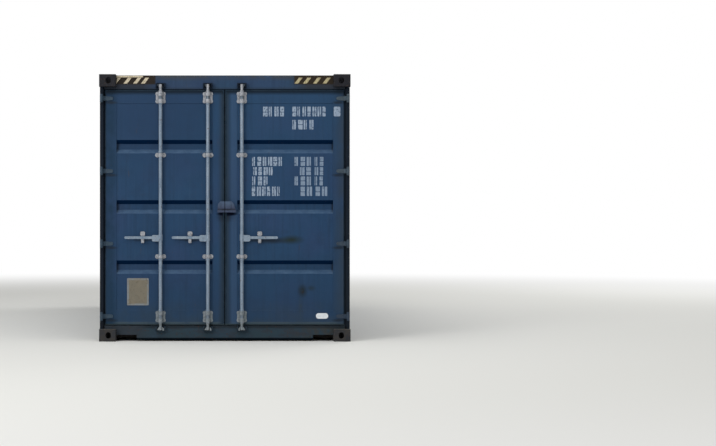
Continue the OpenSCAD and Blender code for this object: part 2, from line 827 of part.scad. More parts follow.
module rod_cams(x, side) {
    translate([x, rod_depth, rod_base]) mirror([side < 0 ? 1 : 0, 0, 0]) mirror([0, 0, 1]) cam();
    translate([x, rod_depth, rod_end]) mirror([side < 0 ? 1 : 0, 0, 0]) cam();
}
module cam() {
    finger_r = 9;
    cylinder(r = rod_r, h = cam_flange_h, $fn = curve);
    cylinder(r = cam_neck_r, h = cam_flange_h + cam_neck_h, $fn = curve);
    translate([0, 0, cam_flange_h + cam_neck_h]) {
        cylinder(r = cam_body_r, h = cam_head_h, $fn = curve);
        run_y(-finger_r, finger_r) polygon([
            [0, 0], [cam_neck_r, 0], [cam_reach, 0.7 * cam_head_h], [cam_reach, cam_head_h], [0, cam_head_h]
        ]);
    }
}
module handle(x, side) {
    bar = handle_l - pivot_x;
    translate([x, rod_depth, handle_z]) mirror([side < 0 ? 1 : 0, 0, 0])
        run_y(-handle_t / 2, handle_t / 2) difference() {
            union() {
                translate([pivot_x, 0]) circle(r = 16, $fn = curve);
                translate([pivot_x, -handle_h / 2]) square([bar - handle_h / 2, handle_h]);
                translate([handle_l - handle_h / 2, 0]) circle(r = handle_h / 2, $fn = curve);
            }
            translate([pivot_x, 0]) circle(r = rivet_r + pin_gap, $fn = curve);
        }
}

// Lock box: a shell over the meeting stiles with a hood standing out of its upper part, in one half on each door
lock_box_gap = 3;
lock_box_z = panel_mid - lock_box_h / 2;
lock_box_step = lock_box_front + lock_hood_t;
module lock_box_outline(reach, lean, t) {
    polygon([
        [lock_box_gap + t, t > 0 ? -eps : 0], [reach - t, t > 0 ? -eps : 0],
        [reach - lean * lock_box_h - t, 0.75 * lock_box_h],
        [reach - (lean + 0.22) * lock_box_h - t / 2, lock_box_h - t], [lock_box_gap + t, lock_box_h - t]
    ]);
}
module lock_hood_outline(reach, t) {
    top = lock_box_h - 3 - t;
    low = lock_hood_low + t;
    polygon([
        [lock_box_gap + t, low], [reach - t, low], [reach - t, top - 12], [reach - 12 - t, top], [lock_box_gap + t, top]
    ]);
}
module lock_box_half(reach, lean, hood) {
    t = lock_box_t;
    translate([0, 0, lock_box_z]) difference() {
        union() {
            run_y(lock_box_step, door_face) lock_box_outline(reach, lean, 0);
            run_y(lock_box_front, lock_box_step + eps) lock_hood_outline(hood, 0);
        }
        run_y(lock_box_step + t, door_face + eps) lock_box_outline(reach, lean, t);
        run_y(lock_box_front + t, lock_box_step + t + eps) lock_hood_outline(hood, t);
    }
}

// The left door and what it carries
module left_door_stiles() { color(blue) at_door_end() door_stiles(); }
module left_door_rails() { color(blue) at_door_end() door_rails(); }
module left_door_panel() { color(blue) at_door_end() door_panel(); }
module left_door_seal() { color(near_black) at_door_end() door_seal(); }
module left_door_hinge_blades() { color(blue) at_door_end() hinge_blades(); }
module left_door_rod_brackets() {
    color(galvanised) at_door_end() {
        rod_brackets(-outer_rod_x, panel_face);
        rod_brackets(-inner_rod_x, door_face);
    }
}
module left_door_handle_retainers() {
    color(galvanised) at_door_end() for (x = [-outer_rod_x, -inner_rod_x]) handle_retainer(x, -1);
}
module left_lock_box() { color(blue) at_door_end() mirror([1, 0, 0]) lock_box_half(lock_box_left, 0.05, lock_hood_left); }

// The right door and what it carries
module right_door_stiles() { color(blue) at_door_end() mirror([1, 0, 0]) door_stiles(); }
module right_door_rails() { color(blue) at_door_end() mirror([1, 0, 0]) door_rails(); }
module right_door_panel() { color(blue) at_door_end() mirror([1, 0, 0]) door_panel(); }
module right_door_seal() { color(near_black) at_door_end() mirror([1, 0, 0]) door_seal(); }
module right_door_hinge_blades() { color(blue) at_door_end() mirror([1, 0, 0]) hinge_blades(); }
module right_door_rod_brackets() { color(galvanised) at_door_end() rod_brackets(inner_rod_x, door_face); }
module right_door_handle_retainer() { color(galvanised) at_door_end() handle_retainer(inner_rod_x, 1); }
module right_lock_box() { color(blue) at_door_end() lock_box_half(lock_box_right, 0.22, lock_hood_right); }

// Lock rods, cams and handles
module outer_rod() { color(galvanised) at_door_end() rod(-outer_rod_x, -1); }
module outer_rod_cams() { color(galvanised) at_door_end() rod_cams(-outer_rod_x, -1); }
module outer_handle() { color(galvanised) at_door_end() handle(-outer_rod_x, -1); }
module left_inner_rod() { color(galvanised) at_door_end() rod(-inner_rod_x, -1); }
module left_inner_rod_cams() { color(galvanised) at_door_end() rod_cams(-inner_rod_x, -1); }
module left_inner_handle() { color(galvanised) at_door_end() handle(-inner_rod_x, -1); }
module right_inner_rod() { color(galvanised) at_door_end() rod(inner_rod_x, 1); }
module right_inner_rod_cams() { color(galvanised) at_door_end() rod_cams(inner_rod_x, 1); }
module right_inner_handle() { color(galvanised) at_door_end() handle(inner_rod_x, 1); }

bottom_corner_castings();
top_corner_castings();
rear_corner_posts();
front_corner_posts();
post_hinge_lugs();
rear_header();
rear_sill();
front_header();
front_sill();
top_side_rails();
bottom_side_rails();
left_side_wall();
right_side_wall();
front_end_wall();
roof_sheet();
floor_boards();
floor_cross_members();
fork_pockets();
cam_keepers();
side_vents();
left_door_stiles();
left_door_rails();
left_door_panel();
left_door_seal();
left_door_hinge_blades();
left_door_rod_brackets();
left_door_handle_retainers();
left_lock_box();
right_door_stiles();
right_door_rails();
right_door_panel();
right_door_seal();
right_door_hinge_blades();
right_door_rod_brackets();
right_door_handle_retainer();
right_lock_box();
outer_rod();
outer_rod_cams();
outer_handle();
left_inner_rod();
left_inner_rod_cams();
left_inner_handle();
right_inner_rod();
right_inner_rod_cams();
right_inner_handle();
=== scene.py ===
import math

import bmesh
import bpy
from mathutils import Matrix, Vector


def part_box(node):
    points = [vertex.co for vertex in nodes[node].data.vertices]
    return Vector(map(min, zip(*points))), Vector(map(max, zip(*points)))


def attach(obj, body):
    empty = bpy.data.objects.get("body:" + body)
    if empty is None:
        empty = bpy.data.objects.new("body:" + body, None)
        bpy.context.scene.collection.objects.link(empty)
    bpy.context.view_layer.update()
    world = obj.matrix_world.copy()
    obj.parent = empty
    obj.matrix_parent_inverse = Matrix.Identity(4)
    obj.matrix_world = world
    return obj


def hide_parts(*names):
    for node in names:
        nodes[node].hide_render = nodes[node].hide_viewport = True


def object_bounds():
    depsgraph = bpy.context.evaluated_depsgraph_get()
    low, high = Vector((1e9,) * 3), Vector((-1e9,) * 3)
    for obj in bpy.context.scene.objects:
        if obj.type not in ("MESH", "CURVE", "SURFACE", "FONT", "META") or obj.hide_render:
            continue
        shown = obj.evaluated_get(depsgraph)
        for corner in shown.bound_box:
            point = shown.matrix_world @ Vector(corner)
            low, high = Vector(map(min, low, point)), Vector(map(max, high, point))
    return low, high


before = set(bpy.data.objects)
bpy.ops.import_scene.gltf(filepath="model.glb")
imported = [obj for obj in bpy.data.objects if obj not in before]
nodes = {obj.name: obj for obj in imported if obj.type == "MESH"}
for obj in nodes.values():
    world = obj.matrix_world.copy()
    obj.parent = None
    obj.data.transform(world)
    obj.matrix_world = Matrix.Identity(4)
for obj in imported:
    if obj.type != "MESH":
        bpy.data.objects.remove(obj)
cadBounds = [list(corner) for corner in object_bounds()]
doorEnd = cadBounds[0][1]
mm = 0.001
print("frame loaded:", len(nodes), "nodes")


def hexColour(code, alpha=1.0):
    # the colour as the eye sees it, turned to the linear values that shaders use
    parts = [int(code[i:i + 2], 16) / 255 for i in (1, 3, 5)]
    return [c / 12.92 if c <= 0.04045 else ((c + 0.055) / 1.055) ** 2.4 for c in parts] + [alpha]


def addNode(tree, kind, inputs=None, **settings):
    node = tree.nodes.new(kind)
    for key, value in settings.items():
        setattr(node, key, value)
    for key, value in (inputs or {}).items():
        if isinstance(value, bpy.types.NodeSocket):
            tree.links.new(value, node.inputs[key])
        else:
            node.inputs[key].default_value = value
    return node


# Camera: square to the doors, as far back as the flat look of the photograph asks
view = {
    "distance": 14.0,      # from the door faces
    "pixelsPerMetre": 102.8,
    "imageWidth": 716,
    "doorDepth": 0.060,
    "height": 1.149,
    "shiftX": 0.186,       # the container stands left of the middle of the frame
}


def buildCamera():
    lens = bpy.data.cameras.new("camera")
    lens.sensor_width = 36.0
    lens.lens = view["pixelsPerMetre"] * view["distance"] / view["imageWidth"] * 36.0
    lens.shift_x = view["shiftX"]
    lens.clip_end = 200
    camera = bpy.data.objects.new("camera", lens)
    camera.location = (0, doorEnd + view["doorDepth"] - view["distance"], view["height"])
    camera.rotation_euler = (math.pi / 2, 0, 0)
    bpy.context.collection.objects.link(camera)
    bpy.context.scene.camera = camera


# Lights: an even sky with one wide soft box above and one by the camera's left shoulder
studio = {
    "sky": 0.50,
    "floor": "#dcdcd8",
    "floorSize": 140.0,
    "floorFade": (6.5, 17.0),
    "boxes": [
        {"place": (-1.0, -5.0, 10.5), "aim": (0, -1.0, 0.8), "size": 9.0, "power": 560},
        {"place": (-8.0, -12.5, 6.0), "aim": (0, -2.0, 1.3), "size": 5.0, "power": 560},
        {"place": (9.0, 8.0, 8.0), "aim": (0, 1.0, 1.2), "size": 7.0, "power": 520},
    ],
}


def buildStudio():
    world = bpy.data.worlds.new("sky")
    bpy.context.scene.world = world
    world.use_nodes = True
    tree = world.node_tree
    tree.nodes.clear()
    ray = addNode(tree, "ShaderNodeLightPath").outputs
    seen = ray["Is Camera Ray"]
    for other in ("Is Glossy Ray", "Is Transmission Ray"):
        seen = addNode(tree, "ShaderNodeMath", {0: seen, 1: ray[other]}, operation="MAXIMUM").outputs[0]
    level = addNode(tree, "ShaderNodeMapRange", {0: seen, 3: studio["sky"], 4: 1.0})
    sky = addNode(tree, "ShaderNodeBackground", {"Color": (1, 1, 1, 1), "Strength": level.outputs[0]})
    addNode(tree, "ShaderNodeOutputWorld", {"Surface": sky.outputs[0]})

    material = bpy.data.materials.new("studioFloor")
    material.use_nodes = True
    tree = material.node_tree
    tree.nodes.clear()
    coords = addNode(tree, "ShaderNodeTexCoord").outputs["Object"]
    away = addNode(tree, "ShaderNodeVectorMath", {0: coords}, operation="LENGTH").outputs["Value"]
    low, high = studio["floorFade"]
    fade = addNode(tree, "ShaderNodeMapRange", {0: away, 1: low, 2: high}, interpolation_type="SMOOTHSTEP")
    ray = addNode(tree, "ShaderNodeLightPath").outputs
    fade = addNode(tree, "ShaderNodeMath", {
        0: fade.outputs[0], 1: ray["Is Camera Ray"]}, operation="MULTIPLY")
    matt = addNode(tree, "ShaderNodeBsdfDiffuse", {"Color": hexColour(studio["floor"])})
    white = addNode(tree, "ShaderNodeEmission", {"Color": (1, 1, 1, 1), "Strength": 1.0})
    mixed = addNode(tree, "ShaderNodeMixShader", {
        0: fade.outputs[0], 1: matt.outputs[0], 2: white.outputs[0]})
    addNode(tree, "ShaderNodeOutputMaterial", {"Surface": mixed.outputs[0]})

    bm = bmesh.new()
    bmesh.ops.create_grid(bm, x_segments=1, y_segments=1, size=studio["floorSize"] / 2)
    mesh = bpy.data.meshes.new("studio_floor")
    bm.to_mesh(mesh)
    bm.free()
    floor = bpy.data.objects.new("studio_floor", mesh)
    mesh.materials.append(material)
    bpy.context.collection.objects.link(floor)

    for index, box in enumerate(studio["boxes"]):
        lamp = bpy.data.lights.new(f"softBox{index}", "AREA")
        lamp.shape = "SQUARE"
        lamp.size = box["size"]
        lamp.energy = box["power"]
        holder = bpy.data.objects.new(f"softBox{index}", lamp)
        holder.location = box["place"]
        aim = Vector(box["aim"]) - Vector(box["place"])
        holder.rotation_euler = aim.to_track_quat("-Z", "Y").to_euler()
        bpy.context.collection.objects.link(holder)


bpy.context.scene.view_settings.view_transform = "Standard"
buildCamera()
buildStudio()
print("camera and studio ready")


# Finishes. A look is a base with layers over it. A layer shows where all the masks it names are high:
#   grain   size of its patches in metres, with cover = the noise values where it starts and is full
#           (seed moves the patches, detail and raggedness shape their edges)
#   stretch how many times longer the patches are along x, y, z
#   cells   size of crystal-like cells in metres, each with its own strength
#   fade    {axis: (no layer here, full layer here)} in metres; XLeft, ZLow and the like keep keys apart
#   facing  the way a surface has to face to take it, with facingRange = where it starts and is full
#   spot    centre x, centre z, half width, half height in metres, full inside the share named core
# amount is its greatest strength, and rough, metal, shine and raise (mm) are what it does besides colour.

def maskOf(tree, coords, normal, layer):
    masks = []
    if "grain" in layer:
        longer = layer.get("stretch", (1, 1, 1))
        placed = addNode(tree, "ShaderNodeMapping", {
            "Vector": coords, "Scale": [1 / s for s in longer], "Location": [layer.get("seed", 0)] * 3})
        noise = addNode(tree, "ShaderNodeTexNoise", {
            "Vector": placed.outputs[0], "Scale": 1 / layer["grain"],
            "Detail": layer.get("detail", 4.0), "Roughness": layer.get("raggedness", 0.6)})
        low, high = layer.get("cover", (0.4, 0.65))
        masks.append(addNode(tree, "ShaderNodeMapRange", {0: noise.outputs[0], 1: low, 2: high}).outputs[0])
    if "cells" in layer:
        cell = addNode(tree, "ShaderNodeTexVoronoi", {"Vector": coords, "Scale": 1 / layer["cells"]})
        masks.append(addNode(tree, "ShaderNodeSeparateColor", {0: cell.outputs["Color"]}).outputs[0])
    axes = addNode(tree, "ShaderNodeSeparateXYZ", {0: coords}).outputs
    for axis, (start, full) in layer.get("fade", {}).items():
        along = axes["XYZ".index(axis[0])]
        masks.append(addNode(tree, "ShaderNodeMapRange", {0: along, 1: start, 2: full}).outputs[0])
    if "facing" in layer:
        turn = addNode(tree, "ShaderNodeVectorMath", {
            0: normal, 1: layer["facing"]}, operation="DOT_PRODUCT").outputs["Value"]
        low, high = layer.get("facingRange", (0.25, 0.65))
        masks.append(addNode(tree, "ShaderNodeMapRange", {0: turn, 1: low, 2: high}).outputs[0])
    if "spot" in layer:
        x, z, halfX, halfZ = layer["spot"]
        near = addNode(tree, "ShaderNodeVectorMath", {0: coords, 1: (x, 0, z)}, operation="SUBTRACT")
        near = addNode(tree, "ShaderNodeVectorMath", {
            0: near.outputs[0], 1: (1 / halfX, 0, 1 / halfZ)}, operation="MULTIPLY").outputs[0]
        reach = addNode(tree, "ShaderNodeVectorMath", {0: near}, operation="LENGTH").outputs["Value"]
        core = layer.get("core", 0.5)
        masks.append(addNode(tree, "ShaderNodeMapRange", {0: reach, 1: 1.0, 2: core}).outputs[0])
    total = layer.get("amount", 1.0)
    for mask in masks:
        total = addNode(tree, "ShaderNodeMath", {0: mask, 1: total}, operation="MULTIPLY").outputs[0]
    return total


def makeFinish(name, look):
    material = bpy.data.materials.new(name)
    material.use_nodes = True
    tree = material.node_tree
    tree.nodes.clear()
    coords = addNode(tree, "ShaderNodeTexCoord").outputs
    colour = hexColour(look["base"])
    height = None
    level = {"rough": look["rough"], "metal": look.get("metal", 0.0), "shine": look.get("shine", 0.5)}
    for layer in look["layers"]:
        mask = maskOf(tree, coords["Object"], coords["Normal"], layer)
        if "colour" in layer:
            colour = addNode(tree, "ShaderNodeMix", {
                0: mask, 6: colour, 7: hexColour(layer["colour"])}, data_type="RGBA").outputs[2]
        for key in [key for key in level if key in layer]:
            level[key] = addNode(tree, "ShaderNodeMix", {0: mask, 2: level[key], 3: layer[key]}).outputs[0]
        if "raise" in layer:
            height = addNode(tree, "ShaderNodeMath", {
                0: mask, 1: layer["raise"] * mm, 2: height or 0.0}, operation="MULTIPLY_ADD").outputs[0]
    surface = addNode(tree, "ShaderNodeBsdfPrincipled", {
        "Base Color": colour, "Roughness": level["rough"], "Metallic": level["metal"],
        "Specular IOR Level": level["shine"]})
    if height:
        bump = addNode(tree, "ShaderNodeBump", {"Height": height, "Distance": 1.0})
        tree.links.new(bump.outputs[0], surface.inputs["Normal"])
    addNode(tree, "ShaderNodeOutputMaterial", {"Surface": surface.outputs[0]})
    return material


# Chalked alkyd paint, rolled over weathering steel: satin, sun-bleached higher up, rain-streaked,
# painted shade where it faces down, dust with a painted highlight where it faces up, with soft dents and
# specks of rust.
paintWear = [
    {"grain": 0.9, "cover": (0.42, 0.62), "colour": "#1f4363", "amount": 0.45, "rough": 0.66},
    {"grain": 0.5, "seed": 17, "detail": 1, "cover": (0.45, 0.65), "colour": "#2a3a60", "amount": 0.38},
    {"grain": 0.16, "seed": 3, "cover": (0.5, 0.72), "colour": "#122a42", "amount": 0.35},
    {"grain": 0.035, "stretch": (1, 1, 22), "seed": 7, "cover": (0.5, 0.72), "colour": "#10273e",
     "amount": 0.40},
    {"grain": 0.022, "stretch": (1, 1, 30), "seed": 9, "cover": (0.55, 0.75), "colour": "#36506d",
     "amount": 0.22},
    {"grain": 0.009, "seed": 1, "cover": (0.4, 0.65), "colour": "#2c4966", "amount": 0.14},
    {"grain": 0.30, "seed": 5, "detail": 2, "cover": (0.3, 0.7), "raise": 2.2},
    {"grain": 0.0035, "detail": 2, "cover": (0.3, 0.7), "raise": 0.05},
]
# painted shade on faces that look down; dust, lightened as a painted highlight, on faces that look up
paintedShadeAndDust = [
    {"facing": (0, 0, -1), "colour": "#001a38", "amount": 0.97, "rough": 0.85, "shine": 0.02},
    {"facing": (0, 0, 1), "grain": 0.08, "cover": (0.1, 0.7), "colour": "#4a6480", "amount": 0.66,
     "rough": 0.8},
]
rustSpecks = [
    {"grain": 0.016, "seed": 11, "cover": (0.66, 0.69), "raggedness": 0.7, "colour": "#3f2d25",
     "amount": 0.7, "rough": 0.9, "raise": 0.25},
    {"grain": 0.05, "stretch": (1, 1, 5), "seed": 13, "cover": (0.68, 0.76), "colour": "#3d3432",
     "amount": 0.4},
]


def innerCoat(facing):
    # the light grey coat inside, on every face that looks this way
    coat = [
        {"colour": "#8e9590", "rough": 0.55},
        {"grain": 0.25, "stretch": (1, 1, 3), "cover": (0.5, 0.75), "colour": "#6f6f66", "amount": 0.5},
        {"grain": 0.03, "stretch": (6, 6, 1), "seed": 4, "cover": (0.62, 0.68), "colour": "#4c4a46",
         "amount": 0.6},
    ]
    return [dict(layer, facing=facing, facingRange=(0.25, 0.35)) for layer in coat]


# The lock rods: where each stands, the way its handle points, and the door it belongs to
rods = {
    "outer": {"x": -0.625, "way": -1, "door": "left"},
    "left_inner": {"x": -0.165, "way": -1, "door": "left"},
    "right_inner": {"x": 0.165, "way": 1, "door": "right"},
}
hingeHeights = (0.242, 0.948, 1.654, 2.360)
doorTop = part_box("left_door_rails")[1][2]
grooveDepth = (doorEnd + 0.066, doorEnd + 0.080)
doorLook = {
    "base": "#18395a", "rough": 0.55, "shine": 0.22,
    "layers": paintWear + [
        {"fade": {"Z": (1.3, 2.4)}, "colour": "#20405f", "amount": 0.45},
        # painted shade on the upper part of the left door
        {"fade": {"Z": (1.4, 2.1), "X": (-0.02, -0.3)}, "colour": "#122f4d", "amount": 0.55},
        {"fade": {"Z": (1.0, 0.3)}, "colour": "#13304b", "amount": 0.5},
        {"fade": {"Z": (0.42, 0.17)}, "grain": 0.2, "cover": (0.3, 0.6), "colour": "#2c3a46", "amount": 0.6,
         "rough": 0.8},
        {"fade": {"Z": (0.190, 0.184)}, "grain": 0.15, "cover": (0.2, 0.5), "colour": "#3f4e55",
         "amount": 0.7, "rough": 0.85},
        # grime creeping in from the outer edges, and a paler band on the right door's inner stile
        {"fade": {"XLeft": (-1.03, -1.10)}, "grain": 0.15, "cover": (0.15, 0.55), "colour": "#042840",
         "amount": 0.85},
        {"fade": {"XRight": (1.04, 1.15)}, "grain": 0.15, "cover": (0.15, 0.55), "colour": "#273645",
         "amount": 0.8},
        {"fade": {"XLow": (0.045, 0.070), "XHigh": (0.135, 0.110)}, "colour": "#314b6a", "amount": 0.55},
        # grime with painted shade along the gap between the doors
        {"fade": {"XLeft": (-0.066, -0.030), "XRight": (0.066, 0.030)}, "colour": "#1a2c3c",
         "amount": 0.88},
        # painted shade under the header along the top of the doors
        {"fade": {"Z": (doorTop - 0.044, doorTop - 0.012)}, "colour": "#0c1822", "amount": 0.9,
         "shine": 0.1},
        # painted shade in the ends of the pressed grooves, where the stiles close them
        {"fade": {"XRight": (1.030, 1.050), "Y": grooveDepth}, "colour": "#071425", "amount": 0.8},
        {"fade": {"XLeft": (-1.024, -1.050), "Y": grooveDepth}, "colour": "#0b1a2c", "amount": 0.7},
    ] + paintedShadeAndDust + rustSpecks + [
        # painted shadow under each hinge blade
        {"spot": (side * 1.105, z - 0.040, 0.075, 0.020), "colour": "#0d1b29", "amount": 0.85, "core": 0.3}
        for side in (-1, 1) for z in hingeHeights
    ] + [
        # painted shadow under the lock box, deep at its lower edge and softer further down
        {"spot": (0.0, 1.205, 0.100, 0.065), "colour": "#08121f", "amount": 0.75, "core": 0.2},
        {"spot": (0.020, 1.237, 0.115, 0.023), "colour": "#00061a", "core": 0.6, "shine": 0.05},
    ] + [
        # painted shadow under each handle bar
        {"spot": (rod["x"] + rod["way"] * 0.155, 0.980, 0.125, 0.018), "colour": "#0f1f2f", "amount": 0.6,
         "core": 0.3}
        for rod in rods.values()
    ] + [
        # on the right door: a darker band under the right handle, stain with painted shadow; a long scuff
        # past its end; two rusted dents and the run under them
        {"spot": (0.46, 0.975, 0.24, 0.034), "grain": 0.05, "stretch": (3, 1, 1), "cover": (0.1, 0.35),
         "colour": "#101c28", "amount": 0.8, "core": 0.2},
        {"spot": (0.650, 0.986, 0.140, 0.050), "grain": 0.03, "stretch": (4, 1, 1), "cover": (0.1, 0.4),
         "colour": "#11211f", "amount": 0.95, "core": 0.15},
        {"spot": (0.755, 0.49, 0.055, 0.075), "grain": 0.02, "cover": (0.2, 0.4), "colour": "#1a252b",
         "amount": 0.95, "rough": 0.9, "core": 0.2},
        {"spot": (0.757, 0.48, 0.016, 0.026), "grain": 0.01, "cover": (0.3, 0.5), "colour": "#29231f",
         "amount": 0.8, "rough": 0.9, "core": 0.2, "raise": 0.4},
        {"spot": (0.840, 0.515, 0.050, 0.034), "grain": 0.02, "cover": (0.2, 0.4), "colour": "#1f2f3a",
         "amount": 0.8, "rough": 0.9, "core": 0.2},
        {"spot": (0.735, 0.35, 0.022, 0.12), "grain": 0.03, "cover": (0.3, 0.6), "colour": "#2b3534",
         "amount": 0.5, "core": 0.2},
    ] + innerCoat((0, 1, 0)),
}

# The same paint on the frame: darker, with oily grime under the roof edge and road dirt low down
frameLook = {
    "base": "#19334c", "rough": 0.6, "shine": 0.25,
    "layers": paintWear + [
        {"fade": {"Z": (0.9, 0.2)}, "grain": 0.1, "cover": (0.3, 0.6), "colour": "#2b2f33", "amount": 0.7},
        {"fade": {"XRight": (0.9, 1.19), "Y": (-2.8, -2.95)}, "grain": 0.2, "cover": (0.1, 0.4),
         "colour": "#12181f", "amount": 0.9, "shine": 0.08},
        {"fade": {"XLeft": (-0.9, -1.19), "Y": (-2.8, -2.95)}, "colour": "#10161e", "amount": 0.9,
         "shine": 0.08},
    ] + paintedShadeAndDust + rustSpecks,
}
headerLook = {
    "base": "#263850", "rough": 0.6, "shine": 0.22,
    "layers": paintWear + [
        {"fade": {"Z": (2.53, 2.57)}, "grain": 0.1, "cover": (0.2, 0.6), "colour": "#3a3c3b",
         "amount": 0.75},
        {"fade": {"XLeft": (-0.62, -0.80)}, "grain": 0.08, "cover": (0.1, 0.35), "colour": "#252830",
         "amount": 0.9, "rough": 0.8},
        {"fade": {"XRight": (0.62, 0.80)}, "grain": 0.08, "cover": (0.1, 0.35), "colour": "#2a2d34",
         "amount": 0.9, "rough": 0.8},
        # painted shade on the header's lower edge, above the doors
        {"fade": {"Z": (doorTop + 0.042, doorTop + 0.018)}, "colour": "#14202b", "amount": 0.6},
        # the dark ground of the warning stripes
        {"fade": {"XLeft": (-0.668, -0.682), "Z": (2.492, 2.504)}, "grain": 0.03, "cover": (0.05, 0.3),
         "colour": "#231b13", "amount": 0.95, "rough": 0.8},
        {"fade": {"XRight": (0.668, 0.682), "Z": (2.492, 2.504)}, "grain": 0.03, "cover": (0.05, 0.3),
         "colour": "#271e12", "amount": 0.95, "rough": 0.8},
    ] + paintedShadeAndDust + rustSpecks,
}
sillLook = {
    "base": "#243541", "rough": 0.65, "shine": 0.2,
    "layers": paintWear[5:] + [
        {"grain": 0.2, "seed": 2, "cover": (0.35, 0.6), "colour": "#2a3b44", "amount": 0.8, "rough": 0.85},
        {"grain": 0.05, "stretch": (3, 3, 1), "seed": 8, "cover": (0.5, 0.65), "colour": "#2b2d35",
         "amount": 0.6},
        {"fade": {"XRight": (0.55, 0.9)}, "grain": 0.05, "seed": 18, "cover": (0.35, 0.55),
         "colour": "#34332f", "amount": 0.7},
        # painted shade on the top of the sill, under the doors' bottom edge
        {"fade": {"Z": (0.118, 0.136)}, "grain": 0.2, "cover": (0.1, 0.4), "colour": "#131c23",
         "amount": 0.85},
        {"fade": {"XLeft": (-0.72, -0.86)}, "grain": 0.1, "cover": (0.1, 0.4), "colour": "#2a3139",
         "amount": 0.9},
        # painted shade along the sill's lowest edge
        {"fade": {"Z": (0.037, 0.027)}, "colour": "#040c12", "shine": 0.03},
    ] + paintedShadeAndDust + [
        {"facing": (0, 0, 1), "grain": 0.04, "cover": (0.3, 0.6), "colour": "#5d6468", "amount": 0.5,
         "rough": 0.9},
        {"grain": 0.02, "seed": 14, "cover": (0.62, 0.67), "colour": "#3c2c25", "amount": 0.7, "rough": 0.9,
         "raise": 0.4},
    ],
}
# Cast steel under the same paint: worn through by the lifting gear, browned by rust and mud
castingWear = [
    {"grain": 0.05, "cover": (0.4, 0.6), "colour": "#27292e", "amount": 0.8},
    {"grain": 0.02, "seed": 6, "cover": (0.58, 0.66), "colour": "#3e2f27", "amount": 0.7, "rough": 0.9,
     "raise": 0.5},
    {"grain": 0.004, "detail": 2, "cover": (0.3, 0.7), "raise": 0.35},
]
lowCastingLook = {
    "base": "#25282d", "rough": 0.75, "shine": 0.3,
    "layers": castingWear + [
        {"grain": 0.08, "seed": 4, "cover": (0.4, 0.6), "colour": "#383532", "amount": 0.8, "rough": 0.9},
        {"facing": (0, 0, 1), "colour": "#57534c", "amount": 0.7},
    ],
}
highCastingLook = {
    "base": "#12131a", "rough": 0.68, "shine": 0.25,
    "layers": castingWear[1:] + [
        {"grain": 0.07, "seed": 4, "cover": (0.5, 0.7), "colour": "#201e25", "amount": 0.7},
        {"facing": (0, 0, 1), "grain": 0.03, "cover": (0.3, 0.6), "colour": "#5b4436", "amount": 0.7,
         "rough": 0.9},
    ],
}


def wallLook(inside):
    return {
        "base": "#1c3c5b", "rough": 0.55, "shine": 0.25,
        "layers": paintWear + [
            {"fade": {"Z": (1.4, 2.5)}, "colour": "#294968", "amount": 0.4},
            {"fade": {"Z": (0.75, 0.17)}, "grain": 0.15, "cover": (0.35, 0.6), "colour": "#3a4046",
             "amount": 0.6, "rough": 0.85},
            {"grain": 0.09, "stretch": (4, 4, 1), "seed": 15, "cover": (0.66, 0.7), "colour": "#59636b",
             "amount": 0.5},
        ] + rustSpecks + innerCoat(inside),
    }


roofLook = {
    "base": "#36506a", "rough": 0.7, "shine": 0.3,
    "layers": paintWear + [
        {"grain": 0.5, "seed": 21, "cover": (0.4, 0.6), "colour": "#5b6a76", "amount": 0.6, "rough": 0.85},
        {"grain": 0.12, "seed": 22, "cover": (0.52, 0.62), "colour": "#5a5148", "amount": 0.6,
         "rough": 0.9},
    ] + rustSpecks + innerCoat((0, 0, -1)),
}
# Tar-based underseal on the frame below the floor: dull, lumpy, coated in road dust
undersealLook = {
    "base": "#1b1c1e", "rough": 0.85,
    "layers": [
        {"grain": 0.2, "cover": (0.4, 0.6), "colour": "#38342f", "amount": 0.7},
        {"grain": 0.02, "seed": 6, "cover": (0.56, 0.64), "colour": "#4b3224", "amount": 0.7, "raise": 0.3},
        {"grain": 0.006, "detail": 2, "cover": (0.3, 0.7), "raise": 0.5},
    ],
}
# Hot-dip zinc on drawn tube and forgings: dull blue grey with faint spangle, white bloom, rust at the scars
zincWear = [
    {"cells": 0.009, "colour": "#9aa6b2", "amount": 0.22, "rough": 0.42},
    {"grain": 0.06, "stretch": (1, 1, 3), "cover": (0.42, 0.65), "colour": "#5c7086", "amount": 0.6},
    {"grain": 0.012, "seed": 5, "cover": (0.55, 0.68), "colour": "#aab3bb", "amount": 0.5, "rough": 0.75,
     "metal": 0.1},
    {"grain": 0.02, "seed": 12, "cover": (0.63, 0.68), "colour": "#5b4436", "amount": 0.7, "rough": 0.9,
     "metal": 0.0},
    {"grain": 0.003, "detail": 2, "cover": (0.3, 0.7), "raise": 0.04},
]
rodLook = {
    "base": "#7d8d9e", "rough": 0.5, "metal": 0.35,
    "layers": zincWear + [
        # painted shade where the rods pass through their bearings
        {"fade": {"ZLow": (0.216, 0.226), "ZHigh": (0.262, 0.252)}, "colour": "#3f464b", "amount": 0.4},
        {"fade": {"ZLow": (2.345, 2.355), "ZHigh": (2.391, 2.381)}, "colour": "#3f464b", "amount": 0.5},
    ],
}
